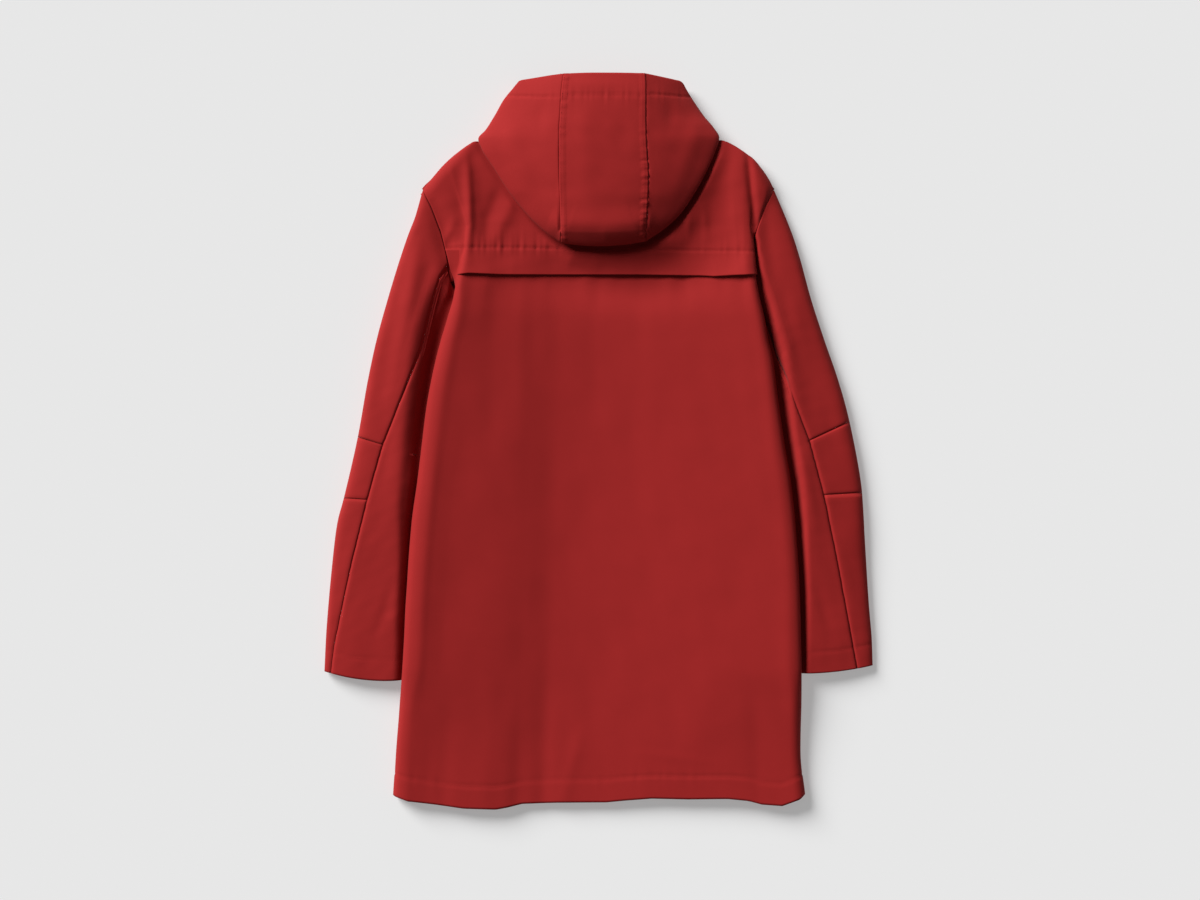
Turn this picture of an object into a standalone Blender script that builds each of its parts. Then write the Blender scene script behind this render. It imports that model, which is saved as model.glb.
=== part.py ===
"""A hooded parka laid flat on its front, back up, with the hood laid down on the back.

Lengths are in millimetres until a mesh is made. +X is right as the back is seen, +Y is towards the
hood and +Z is up from the surface it lies on. Each piece that is cut and sewn is one object: a sheet
of points on the cloth's outer side, and the same points moved in by the cloth's thickness.
"""

import bpy
import numpy as np

MM = 0.001
WALL = 1.5  # thickness of the cloth
GAP = 0.3  # between two pieces at a seam
LAYER = WALL + GAP  # from one layer's outer side to that of the layer under it
LAP = 20.0  # each front goes this far past the centre line
FLAP_TOP = 246.0  # where the yoke is stitched down
FLAP_EDGE = 213.0  # the yoke's loose lower edge
FLAP_LIFT = 1.6  # how far that edge stands off the panel under it
LAYERED_TO = 160.0  # down to here the panel under the flap lies a layer lower
LAYERED_FROM = 210.0  # and from here up it lies there fully
SECTION_TOP = 275.0  # above this the back is drawn up to the shoulders and the neck
HEM = -460.0
PRESSED = 17.8  # height of the back where the hood lies on it
HOOD_LOW = 18.6  # height of the hood's lower layer
TUCKED = 9.0  # height of a sleeve where the body lies on it
COVERED = 10.8  # height of a sleeve where the body's fold begins to cover it
SHOULDER_ROLL = 14.0  # width of the rounding along the shoulders
ROLL = 12.0  # width of the rounding along the table
COLOUR = (0.36, 0.022, 0.018, 1.0)


def table(columns, rows):
    """A table as a dictionary with one array for each named column."""
    return dict(zip(columns.split(), np.array(rows, float).T))


# One row for each height on the back. Distances are from the centre line, out to the side: edge is
# the side fold, ridge the top of the fold's roll, foot its inner end.
BACK_LEFT = table("y edge edge_z ridge ridge_z foot foot_z", [
    (275, 169.0, 20.0, 162.5, 23.0, 140, 19.5),
    (246, 172.0, 21.0, 165.0, 26.0, 140, 22),
    (235, 176.0, 21.5, 167.5, 28.0, 141, 23.5),
    (224, 179.0, 22.0, 170.5, 30.0, 142, 25),
    (213, 182.0, 22.0, 173.0, 31.5, 143, 26.5),
    (198, 184.6, 22.0, 175.0, 33.0, 145, 28),
    (181, 186.9, 22.0, 175.8, 33.5, 148, 28.5),
    (155, 193.9, 21.5, 179.9, 33.5, 152, 29),
    (130, 201.5, 21.0, 186.5, 33.5, 157, 29),
    (104, 207.9, 21.5, 191.5, 33.5, 162, 29),
    (53, 218.1, 22.0, 200.5, 33.5, 169, 29.5),
    (2, 224.5, 22.0, 206.5, 33.5, 176, 29.5),
    (-49, 230.9, 22.0, 212.5, 33.5, 184, 29.5),
    (-104, 238.4, 22.0, 218.5, 33.5, 190, 29.5),
    (-195, 245.0, 22.0, 225.5, 32.5, 197, 28.5),
    (-287, 250.1, 21.5, 230.5, 30.5, 202, 27),
    (-335, 254.2, 13.0, 237.5, 25.5, 206, 24),
    (-382, 257.8, 11.0, 241.5, 21.5, 208, 20),
    (-460, 262.2, 8.5, 245.5, 17.0, 212, 15.5),
])
BACK_RIGHT = table("y edge edge_z ridge ridge_z foot foot_z", [
    (275, 195.2, 21.0, 186.0, 23.5, 165, 20),
    (246, 199.0, 21.5, 188.0, 26.0, 165, 21.5),
    (235, 200.0, 21.5, 188.5, 27.5, 165, 22.5),
    (224, 201.0, 22.0, 189.0, 29.0, 166, 24),
    (213, 202.3, 22.0, 190.9, 30.0, 166, 25.5),
    (198, 204.5, 22.0, 193.7, 31.0, 167, 26.5),
    (181, 207.1, 22.5, 197.1, 31.5, 168, 27.5),
    (155, 212.2, 22.5, 202.0, 31.5, 172, 28),
    (130, 216.1, 22.5, 206.0, 31.5, 176, 28),
    (104, 222.5, 22.5, 211.0, 31.5, 180, 28),
    (53, 228.9, 22.5, 217.0, 31.5, 186, 28.5),
    (2, 235.9, 22.5, 222.0, 31.5, 190, 28.5),
    (-49, 244.5, 22.5, 230.0, 31.5, 197, 28.5),
    (-104, 251.0, 22.5, 236.0, 31.0, 202, 28),
    (-195, 256.5, 22.0, 242.0, 30.0, 207, 27.5),
    (-287, 258.7, 21.5, 243.0, 29.0, 210, 26.5),
    (-335, 259.1, 13.0, 246.0, 25.0, 212, 23),
    (-394, 258.5, 11.0, 246.0, 20.5, 212, 19),
    (-460, 263.7, 9.0, 251.0, 18.0, 214, 16.5),
])
SIDE_SEAM = table("y left right", [
    (125, 150, 150), (104, 160, 160), (53, 174, 176), (2, 190, 192), (-49, 200, 202),
    (-104, 207, 210), (-195, 214, 216), (-287, 219, 220), (-335, 223, 222), (-460, 228, 226),
])
UNDERARM = 125.0
# The folds between, from left to right: where each is at the yoke and at the hem, and its height
# at six places down the back.
FOLDS = table("x_yoke x_hem at_275 at_120 at_0 at_150 at_300 at_460", [
    (-113, -150, 18.5, 24.5, 24.5, 24.5, 22.5, 16.0),
    (-75, -102, 18.5, 20.5, 19.8, 19.5, 17.0, 12.5),
    (-42, -64, 18.5, 17.5, 16.0, 15.5, 14.0, 12.0),
    (-5, -16, 18.5, 16.5, 14.6, 14.5, 13.8, 12.5),
    (40, 36, 18.5, 17.8, 16.4, 16.2, 15.5, 13.8),
    (85, 86, 18.5, 20.5, 19.8, 19.5, 18.3, 14.8),
    (132, 145, 18.5, 23.6, 23.6, 23.4, 22.0, 16.0),
])
FOLD_HEIGHTS_AT = (275, 120, 0, -150, -300, -460)
# Where each column of the back meets the shoulder or the neck, and its height a little way in.
BACK_TOP = table("x y z", [
    (-224.8, 321.3, 9.0), (-219.0, 329.0, 18.0), (-211.0, 338.0, 20.0), (-198.0, 353.3, 21.0),
    (-190.0, 361.0, 22.0), (-181.0, 368.5, 22.0), (-168.0, 377.5, 20.0), (-155.0, 383.8, 18.0),
    (-113.0, 378.0, PRESSED), (-75.0, 371.5, PRESSED), (-42.0, 367.5, PRESSED),
    (-5.0, 366.5, PRESSED), (40.0, 367.5, PRESSED), (85.0, 373.0, PRESSED),
    (132.0, 381.0, PRESSED),
    (156.0, 384.8, 17.8), (168.0, 380.0, 18.0), (185.0, 370.5, 19.5), (196.6, 362.4, 21.0),
    (207.0, 350.5, 21.0), (214.0, 341.0, 20.0), (219.5, 332.0, 18.0), (224.1, 321.9, 9.0),
])
# Height of the body's under side where it lies over the sleeves.
OVER_SLEEVES = table("y z", [
    (128, 0.0), (124, 6.5), (113, 9.0), (98, 10.0), (-306, 10.0), (-335, 0.0),
])
# Height of the edge along the shoulders and the hood's sides, by distance from the centre line.
EDGE_HEIGHT = table("x z", [
    (105, 8.5), (128, 11.0), (142, 14.0), (154, 17.0), (170, 15.0), (200, 12.0), (225, 9.0),
])
HEM_LINE = table("x y", [
    (-266, -449.0), (-259.3, -453.5), (-243.6, -459.4), (-211.2, -463.2), (-172, -468.7),
    (-130.9, -470.0), (-117.2, -467.6), (-97.5, -462.8), (-52.5, -461.3), (10, -460.9),
    (30, -458.9), (67.5, -455.9), (114.4, -457), (165, -456.3), (191.5, -458.9),
    (208.4, -463.5), (234.6, -465.3), (257.2, -457), (265, -449.0),
])
# One row for each section of a sleeve, from the armhole to the cuff: its outer and inner ends as
# seen from above, the height of its crest, and its height at the inner end.
SLEEVE_LEFT = table("outer_x outer_y inner_x inner_y crest tuck", [
    (-224.8, 321.3, -150.0, 125.0, 21.0, 3.8),
    (-234.6, 286.6, -152.5, 112.0, 23.0, 4.8),
    (-242.7, 265.7, -155.0, 100.0, 24.5, 6.0),
    (-254.2, 231.8, -158.0, 85.0, 26.0, 8.0),
    (-269.6, 181.0, -162.5, 62.0, 27.5, TUCKED),
    (-283.6, 130.0, -166.5, 38.0, 28.0, TUCKED),
    (-294.7, 78.7, -170.5, 9.0, 28.0, TUCKED),
    (-307.7, 5.6, -175.0, -35.0, 27.0, TUCKED),
    (-325.5, -72.1, -190.0, -82.0, 26.5, TUCKED),
    (-334.0, -105.0, -193.0, -110.0, 25.0, TUCKED),
    (-340.4, -156.4, -199.0, -160.0, 23.0, TUCKED),
    (-348.3, -247.7, -210.0, -248.0, 20.0, TUCKED),
    (-350.5, -293.5, -220.0, -300.0, 17.0, TUCKED),
])
SLEEVE_RIGHT = table("outer_x outer_y inner_x inner_y crest tuck", [
    (224.1, 321.9, 150.0, 125.0, 20.0, 3.8),
    (235.9, 294.5, 152.5, 112.0, 22.0, 4.2),
    (248.8, 261.8, 155.0, 100.0, 23.5, 4.8),
    (257.8, 233.1, 158.0, 85.0, 25.0, 6.5),
    (271.9, 181.0, 163.0, 62.0, 26.5, TUCKED),
    (288.5, 130.0, 168.0, 38.0, 27.0, TUCKED),
    (306.2, 78.7, 172.5, 9.0, 27.0, TUCKED),
    (320.9, 25.0, 180.0, -40.0, 27.0, TUCKED),
    (336.9, -65.5, 200.0, -73.0, 26.0, TUCKED),
    (340.1, -119.7, 204.0, -115.0, 25.0, TUCKED),
    (345.3, -203.4, 212.0, -200.0, 21.0, TUCKED),
    (349.5, -255.0, 217.0, -255.0, 19.0, TUCKED),
    (350.5, -286.0, 220.0, -294.0, 17.0, TUCKED),
])
ELBOW_ROWS = (7, 8)  # the rows above that lie on the two cross seams
# How wide a sleeve's fall towards the body is, by row.
FALL = table("row left right", [
    (0, 36, 12), (1.6, 42, 16), (4, 42, 23), (5.5, 32, 21), (8, 24, 18), (10, 15, 14), (12, 11, 11),
])
# Where the fall bends, left and right: shares of its width and of its height.
FALL_BEND = ((0.42, 0.75), (0.27, 0.0))
UNDER_FROM = (1.5, 7.0)  # how far inside the body's edge the sleeve is down at its TUCKED height
# Heights along a sleeve's top as shares of its crest, from the outer edge to where the fall begins.
TOP_RISE = ((0.4, 0.66, 0.79, 0.91, 1), (0.3, 0.49, 0.64, 0.83, 1))
ARMHOLE_BOW = table("share x", [
    (0.0, 0.0), (0.11, 2.9), (0.27, 3.0), (0.44, -1.0), (0.63, -7.4), (0.8, -9.5),
    (0.92, -3.5), (1.0, 0.0),
])  # how far the armhole stands out from the straight line between its ends
CUFF_BOW = (-8.7, -5.5)  # how far the cuff's middle hangs past its ends, left and right
BACK_SEAM_LEFT = table("x y", [
    (-192.8, 221.3), (-202.6, 207.0), (-224.8, 117.0), (-241.2, 78.7), (-275.6, -6.1),
    (-294.7, -74.1), (-316.9, -164.2), (-337.8, -260.9), (-344.0, -310.0),
])
BACK_SEAM_RIGHT = table("x y", [
    (188.5, 221.0), (200.0, 190.0), (214.0, 150.0), (228.4, 104.3), (239.5, 78.7),
    (269.6, 0.4), (287.9, -68.1), (303.5, -143.4), (319.2, -226.9), (333.0, -300.0),
])
# One row for each section of the hood, from its opening to its lower fold: the seam with the centre
# panel, the outer edge, and where the section's under side ends.
HOOD_LEFT = table("seam_x seam_y seam_z edge_x edge_y edge_z end_x end_y", [
    (-44.4, 468.3, 36.0, -105.1, 455.3, 15.5, -0.5, 360.0),
    (-46.5, 455.0, 41.0, -114.0, 445.5, 16.0, -0.5, 353.0),
    (-48.0, 437.0, 45.0, -122.0, 435.0, 16.5, -0.5, 346.0),
    (-49.0, 415.0, 48.5, -133.0, 415.5, 17.0, -0.5, 339.0),
    (-50.0, 397.0, 51.0, -144.0, 398.0, 18.0, -0.5, 332.0),
    (-50.0, 380.0, 52.5, -153.6, 386.0, 19.0, -0.5, 325.15),
    (-50.0, 362.0, 53.0, -148.5, 371.5, 22.0, -50.0, 352.0),
    (-50.0, 340.0, 53.5, -131.6, 345.0, 26.0, -50.0, 333.0),
    (-49.5, 315.0, 53.0, -111.7, 314.2, 28.0, -50.0, 312.0),
    (-49.0, 295.0, 51.0, -91.9, 289.9, 29.0, -49.0, 293.0),
    (-48.5, 279.0, 48.0, -72.1, 270.1, 30.0, -48.0, 278.0),
    (-48.0, 268.0, 44.5, -47.9, 252.8, 30.0, -48.0, 267.0),
])
HOOD_RIGHT = table("seam_x seam_y seam_z edge_x edge_y edge_z end_x end_y", [
    (59.5, 468.6, 35.0, 109.8, 454.3, 12.5, 0.5, 360.0),
    (60.0, 455.0, 39.0, 116.5, 442.5, 13.0, 0.5, 353.0),
    (60.2, 437.0, 43.0, 124.0, 431.0, 13.5, 0.5, 346.0),
    (60.2, 415.0, 46.5, 135.0, 415.0, 14.5, 0.5, 339.0),
    (60.2, 397.0, 49.0, 147.0, 400.5, 16.5, 0.5, 332.0),
    (61.0, 380.0, 50.5, 154.0, 387.5, 19.0, 0.5, 325.15),
    (62.0, 362.0, 51.0, 149.2, 370.5, 22.0, 61.0, 352.0),
    (63.5, 340.0, 51.5, 134.5, 338.0, 26.0, 62.0, 333.0),
    (63.0, 317.0, 51.5, 119.7, 311.9, 28.0, 62.0, 312.0),
    (62.0, 299.0, 50.0, 103.0, 288.5, 29.0, 61.5, 293.0),
    (61.3, 282.0, 47.5, 82.0, 269.5, 30.0, 61.0, 280.0),
    (60.3, 270.0, 44.0, 60.4, 255.0, 30.0, 60.3, 269.0),
])
NECK_ROW = 5  # the hood's row that reaches the end of the shoulder
FOLD_FULLNESS = 0.55  # lower for a rounder fold at the hood's lower end
HOOD_CROWN = 3.5  # how far the centre panel swells between its seams
CORNER_RISE = table("share y", [  # how far the opening's line rises towards its corners
    (0, 0), (.29, 1.6), (.6, 3), (.88, 4.3), (.96, 3), (1, 0)])
FRONT_NECK = table("x y", [
    (154.5, 385.2), (141, 377), (125, 367), (95, 350.5), (60, 336), (36, 329), (21, 326), (0, 326),
])


def smooth(t):
    t = np.clip(t, 0, 1)
    return t * t * (3 - 2 * t)


def mix(a, b, t):
    return a + (b - a) * t


def curve(at, knots, values):
    """A smooth curve through the values at the knots that never goes past them."""
    knots, values = np.asarray(knots, float), np.asarray(values, float)
    if knots[0] > knots[-1]:
        knots, values = knots[::-1], values[::-1]
    wide = (-1,) + (1,) * (values.ndim - 1)
    step = np.diff(knots).reshape(wide)
    slope = np.diff(values, axis=0) / step
    before, after = slope[:-1], slope[1:]
    near, far = 2 * step[1:] + step[:-1], step[1:] + 2 * step[:-1]
    same = before * after > 0
    share = near / np.where(same, before, 1) + far / np.where(same, after, 1)
    tangent = np.zeros_like(values)
    tangent[1:-1] = np.where(same, (near + far) / np.where(same, share, 1), 0)
    tangent[0], tangent[-1] = slope[0], slope[-1]
    at = np.clip(np.atleast_1d(np.asarray(at, float)), knots[0], knots[-1])
    k = np.clip(np.searchsorted(knots, at, side="right") - 1, 0, len(knots) - 2)
    h = step[k]
    t = ((at - knots[k]).reshape(wide)) / h
    return (
        values[k] * (2 * t**3 - 3 * t**2 + 1) + values[k + 1] * (3 * t**2 - 2 * t**3)
        + tangent[k] * h * (t**3 - 2 * t**2 + t) + tangent[k + 1] * h * (t**3 - t**2)
    )


def to_lines(points, line):
    """How far each point is from a line of straight pieces, seen from above."""
    points = points[..., None, :2]
    a, b = line[:-1], line[1:]
    along = ((points - a) * (b - a)).sum(-1) / ((b - a) ** 2).sum(-1)
    nearest = a + np.clip(along, 0, 1)[..., None] * (b - a)
    return np.linalg.norm(points - nearest, axis=-1).min(-1)


def inside(points, line):
    """Whether each point is inside a closed line, seen from above."""
    x, y = points[..., None, 0], points[..., None, 1]
    a, b = line, np.roll(line, -1, axis=0)
    crosses = (a[:, 1] > y) != (b[:, 1] > y)
    run = np.where(b[:, 1] == a[:, 1], 1, b[:, 1] - a[:, 1])
    at = a[:, 0] + (y - a[:, 1]) * (b[:, 0] - a[:, 0]) / run
    return (crosses & (x < at)).sum(-1) % 2 == 1


def unit(v):
    return v / np.maximum(np.linalg.norm(v, axis=-1, keepdims=True), 1e-9)


def grid_normals(grid, around=False):
    """Unit normals of a grid of points, by the chords between each point's neighbours."""
    if around:
        across = np.roll(grid, -1, axis=1) - np.roll(grid, 1, axis=1)
    else:
        across = np.gradient(grid, axis=1)
    return unit(np.cross(across, np.gradient(grid, axis=0)))


def share_normals(normals, axis, pairs):
    """Gives each pair of rows or columns that meet at a seam the same directions."""
    lines = np.moveaxis(normals, axis, 0)
    for a, b in pairs:
        lines[a] = lines[b] = unit(lines[a] + lines[b])


def quads(index):
    """Faces of a grid of point numbers."""
    a, b, c, d = index[:-1, :-1], index[:-1, 1:], index[1:, 1:], index[1:, :-1]
    return np.stack([a, b, c, d], -1).reshape(-1, 4)


def cloth(name, points, normals, faces):
    """One closed piece of cloth: the outer points, and the same points moved in by WALL."""
    count = len(points)
    corners = points[faces]
    facing = np.cross(corners[:, 2] - corners[:, 0], corners[:, 3] - corners[:, 1])
    if (facing * normals[faces].mean(1)).sum() < 0:
        faces = faces[:, ::-1]
    ends = np.stack([faces, np.roll(faces, -1, axis=1)], -1).reshape(-1, 2)
    known = {tuple(pair) for pair in ends}
    rim = np.array([(b, a, a + count, b + count) for a, b in known if (b, a) not in known])
    mesh = bpy.data.meshes.new(name)
    every = np.concatenate([points, points - WALL * normals]) * MM
    shape = np.concatenate([faces, faces[:, ::-1] + count, rim])
    mesh.from_pydata(every.tolist(), [], shape.tolist())
    mesh.shade_smooth()
    material = bpy.data.materials.new(name + "_cloth")
    material.use_nodes = True
    surface = material.node_tree.nodes["Principled BSDF"]
    surface.inputs["Base Color"].default_value = COLOUR
    surface.inputs["Roughness"].default_value = 0.8
    mesh.materials.append(material)
    piece = bpy.data.objects.new(name, mesh)
    bpy.context.scene.collection.objects.link(piece)
    return piece


def cloth_grid(name, grid, normals):
    index = np.arange(grid.shape[0] * grid.shape[1]).reshape(grid.shape[:2])
    return cloth(name, grid.reshape(-1, 3), normals.reshape(-1, 3), quads(index))


# ---- outlines seen from above ----

SHOULDERS = [
    np.stack([BACK_TOP["x"][:8], BACK_TOP["y"][:8]], -1),
    np.stack([BACK_TOP["x"][15:], BACK_TOP["y"][15:]], -1),
]
HOOD_OUTLINE = np.concatenate([
    np.stack([HOOD_LEFT["edge_x"], HOOD_LEFT["edge_y"]], -1),
    [(-21.2, 249.2), (5.1, 248.1), (33.8, 249.2)],
    np.stack([HOOD_RIGHT["edge_x"], HOOD_RIGHT["edge_y"]], -1)[::-1],
])
TABLE_EDGES = [
    np.concatenate([SHOULDERS[0], np.stack([HOOD_LEFT["edge_x"], HOOD_LEFT["edge_y"]], -1)[5::-1]]),
    np.concatenate([SHOULDERS[1][::-1],
                    np.stack([HOOD_RIGHT["edge_x"], HOOD_RIGHT["edge_y"]], -1)[5::-1]]),
]


def edge_height(x):
    return np.interp(np.abs(x), EDGE_HEIGHT["x"], EDGE_HEIGHT["z"])


def rounding(distance, width):
    """A quarter circle: 0 at an edge and 1 from this width on."""
    t = 1 - np.clip(distance / width, 0, 1)
    return np.sqrt(1 - t * t)


def table_roll(points, right):
    """Height of the under side, which rises from the table to the edge."""
    distance = to_lines(points, TABLE_EDGES[right])
    return edge_height(points[..., 0]) * (1 - rounding(distance, ROLL))


def edge_normals(points, right):
    """Directions straight out from the shoulder's edge."""
    line = SHOULDERS[right]
    middle = (line[:-1] + line[1:]) / 2
    nearest = np.linalg.norm(points[..., None, :2] - middle, axis=-1).argmin(-1)
    run = np.diff(line, axis=0)[nearest]
    out = np.stack([-run[..., 1], run[..., 0], np.zeros(run.shape[:-1])], -1)
    return unit(out)


# ---- sleeves ----

RING_AT = np.array([0, .06, .14, .30, .45, .58, .68, .80, .92, 1, 1.08, 1.3, 1.5, 1.7, 1.88, 1.96])
RING_SAMPLES = 960


def sleeve_plan(right, rows, share, over=1):
    """Points (row, share across) of a sleeve seen from above; share is one array for each row.
    over is 1 on the top, where the armhole is bowed, and 0 beneath, where it is straight."""
    sleeve = (SLEEVE_LEFT, SLEEVE_RIGHT)[right]
    number = np.arange(len(sleeve["crest"]))
    ends = curve(rows, number, np.stack(
        [sleeve["outer_x"], sleeve["outer_y"], sleeve["inner_x"], sleeve["inner_y"]], -1))
    point = mix(ends[:, None, :2], ends[:, None, 2:], share[..., None])
    out = (-1, 1)[right]
    armhole = np.interp(share, ARMHOLE_BOW["share"], ARMHOLE_BOW["x"])
    near_armhole = smooth(1 - rows / 3)[:, None]
    point[..., 0] -= out * armhole * near_armhole * over
    near_cuff = smooth((rows - number[-2]) / 1.0)[:, None]
    point[..., 1] += CUFF_BOW[right] * 4 * share * (1 - share) * near_cuff
    return point


def covered_share(right, rows):
    """The share across each row at which the body's fold begins to cover the sleeve."""
    back = (BACK_LEFT, BACK_RIGHT)[right]
    share = np.broadcast_to(np.linspace(0, 1, 400), (len(rows), 400))
    point = sleeve_plan(right, rows, share)
    edge = np.interp(point[..., 1], back["y"][::-1], back["edge"][::-1])
    under = (np.abs(point[..., 0]) < edge) & (point[..., 1] < SECTION_TOP)
    first = under.argmax(1)
    return share[0][first]


def sleeve_rings(right, rows):
    """Dense points round each row: over the top from the outer edge, and back along the table."""
    sleeve = (SLEEVE_LEFT, SLEEVE_RIGHT)[right]
    number = np.arange(len(sleeve["crest"]))
    crest, tuck = curve(rows, number, np.stack([sleeve["crest"], sleeve["tuck"]], -1)).T
    width = np.linalg.norm(
        sleeve_plan(right, rows, np.zeros((len(rows), 1)))
        - sleeve_plan(right, rows, np.ones((len(rows), 1))), axis=-1)[:, 0]
    cover = covered_share(right, rows)
    at_edge = np.full_like(crest, COVERED)
    top = np.minimum(0.28, cover * 0.5)
    zero = np.zeros_like(crest)
    under = TUCKED + zero
    fall = np.interp(rows, FALL["row"], FALL[("left", "right")[right]])
    rise = TOP_RISE[right]
    bend = FALL_BEND[right]
    knots = [  # share across, height
        (zero, rise[0] * crest), (2.5 / width, rise[1] * crest), (9 / width, rise[2] * crest),
        (top, rise[3] * crest), (cover - fall / width, mix(at_edge, crest, rise[4])),
        (cover - bend[0] * fall / width, mix(at_edge, crest, bend[1])),
        (cover + UNDER_FROM[right] / width, under), ((cover + 7 / width + 1) / 2, mix(tuck, under, 0.15)),
        (1 - 5 / width, tuck), (1 + zero, tuck / 2), (1 - 5 / width, zero), (0.75 + zero, zero),
        (0.5 + zero, zero), (0.25 + zero, zero), (10 / width, zero), (2.5 / width, 0.12 * crest),
    ]
    knots = np.stack([np.stack(pair, -1) for pair in knots])
    turns = np.concatenate([RING_AT[-3:] - 2, RING_AT, RING_AT[:3] + 2])
    knots = np.concatenate([knots[-3:], knots, knots[:3]])
    ring = curve(np.linspace(0, 2, RING_SAMPLES), turns, knots).transpose(1, 0, 2)
    over = np.arange(RING_SAMPLES) < RING_SAMPLES // 2
    plan = sleeve_plan(right, rows, ring[..., 0], over)
    return np.concatenate([plan, ring[..., 1:]], -1)


def seam_line(right, y, over=1):
    """How far out the back's side edge is, or the front's: the armhole, and then the side seam."""
    armhole = sleeve_plan(right, np.array([0.0]), np.linspace(0, 1, 200)[None], over)[0]
    side = np.interp(y, SIDE_SEAM["y"][::-1], SIDE_SEAM[("left", "right")[right]][::-1])
    at_armhole = np.interp(y, armhole[::-1, 1], np.abs(armhole[::-1, 0]))
    return np.where(y >= UNDERARM, at_armhole, side)


def armhole_height(right, x, y):
    """Height of a sleeve's top along its armhole, at points near that line."""
    ring = sleeve_rings(right, np.array([0.0]))[0]
    over = ring[: RING_SAMPLES // 2]
    near = np.hypot(x[..., None] - over[:, 0], y[..., None] - over[:, 1]).argmin(-1)
    return over[near, 2]


STRIP_TOP = (0, .28, .52, .72, .87, .96)  # places from the back seam out to the edge
STRIP_UNDER = (0, .1, .3, .62, 1)  # places from the edge to the seam beneath
INNER_TOP = (0, .17, .34, .5, .64, .78, .9, .96)  # places from the back seam in to the inner edge
INNER_UNDER = (0, .06, .35, .65, 1)
FRONT_SEAM = 0.16  # share across of the sleeve's seam that lies on the table
ROW_GAP = 0.003  # half a cross seam's gap, in rows


def sleeve_grid(right, rows, strip_top, strip_under, inner_top, inner_under):
    """Outer points (row, place round the sleeve, 3), and how many places the outer strip has."""
    seam = (BACK_SEAM_LEFT, BACK_SEAM_RIGHT)[right]
    seam = np.stack([seam["x"], seam["y"]], -1)
    half = RING_SAMPLES // 2
    grid = []
    for ring in sleeve_rings(right, rows):
        length = np.concatenate([[0], np.cumsum(np.linalg.norm(np.diff(ring, axis=0), axis=-1))])
        back = length[to_lines(ring[:half], seam).argmin()]
        inner = length[half]
        share = np.linalg.norm(ring[:, :2] - ring[0, :2], axis=-1)
        front = length[half + np.abs(share[half:] / share[half] - FRONT_SEAM).argmin()]
        near, far = back + GAP / 2, back - GAP / 2
        at = np.concatenate([
            far * (1 - np.array(strip_top)),
            length[-1] - np.array(strip_under) * (length[-1] - front - GAP / 2),
            (inner + np.array(inner_under) * (front - GAP / 2 - inner))[::-1],
            (near + np.array(inner_top) * (inner - near))[::-1]])
        grid.append(np.stack([np.interp(at, length, ring[:, axis]) for axis in range(3)], -1))
    return np.array(grid), len(strip_top) + len(strip_under)


def sleeve(side):
    right = int(side == "right")
    first, second = ELBOW_ROWS
    upper = np.array([0.025, .35, .7, 1, 1.5, 2, 2.5, 3, 3.6, 4.2, 5, 5.6, 6.3, first - ROW_GAP])
    elbow = np.array([first + ROW_GAP, first + 0.33, first + 0.67, second - ROW_GAP])
    lower = np.array([second + ROW_GAP, 8.6, 9.2, 10, 10.6, 11, 11.4, 11.7, 12])
    rows = np.concatenate([upper, elbow, lower])
    grid, strip = sleeve_grid(right, rows, STRIP_TOP, STRIP_UNDER, INNER_TOP, INNER_UNDER)
    normals = grid_normals(grid, around=True)
    if (normals[:, 3, 2] < 0).mean() > 0.5:
        normals = -normals
    ends = np.cumsum([0, len(upper), len(elbow), len(lower)])
    share_normals(normals, 1, ((0, -1), (strip - 1, strip)))
    share_normals(normals, 0, ((ends[1] - 1, ends[1]), (ends[2] - 1, ends[2])))
    names = ("top_sleeve_upper_", "elbow_panel_", "top_sleeve_lower_")
    for name, start, stop in zip(names, ends, ends[1:]):
        cloth_grid(name + side, grid[start:stop, :strip], normals[start:stop, :strip])
    cloth_grid("under_sleeve_" + side, grid[:, strip:], normals[:, strip:])


# ---- the back ----

SIDE_COLUMNS = 8


def side_controls(right, y):
    """The eight control points of a side, from its seam in to the fold's foot: (8, row, 3)."""
    back = (BACK_LEFT, BACK_RIGHT)[right]
    out = (-1, 1)[right]
    edge, edge_z, ridge, ridge_z, foot, foot_z = curve(y, back["y"], np.stack(
        [back[c] for c in "edge edge_z ridge ridge_z foot foot_z".split()], -1)).T
    seam = seam_line(right, y)
    low = np.interp(y, OVER_SLEEVES["y"][::-1], OVER_SLEEVES["z"][::-1])
    hidden = smooth((edge - seam + 1) / 6)
    on_sleeve = armhole_height(right, out * seam, y) + hidden
    seam_z = np.where(y > UNDERARM, on_sleeve, low)
    low = np.where(y > 90, TUCKED + 1, low)
    wide = np.clip((edge - seam) / 6, 0, 1)
    over = np.maximum(edge - seam, 0)
    flat = np.minimum(12 + 0.35 * np.maximum(over - 20, 0), 0.6 * over)
    columns = [
        (seam, seam_z),
        (mix(mix(seam, edge, 0.33), edge - flat, wide),
         mix(mix(seam_z, edge_z, 0.33), low, wide)),
        (mix(mix(seam, edge, 0.67), edge - np.minimum(3.5, 0.3 * over), wide),
         mix(mix(seam_z, edge_z, 0.67), low + 0.27 * (edge_z - low), wide)),
        (edge, edge_z),
        (mix(edge, ridge, 0.3), mix(edge_z, ridge_z, 0.72)),
        (ridge, ridge_z),
        (mix(ridge, foot, 0.45), mix(ridge_z, foot_z, 0.5)),
        (foot, foot_z),
    ]
    return np.stack([np.stack([out * x, y, z], -1) for x, z in columns])


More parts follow.
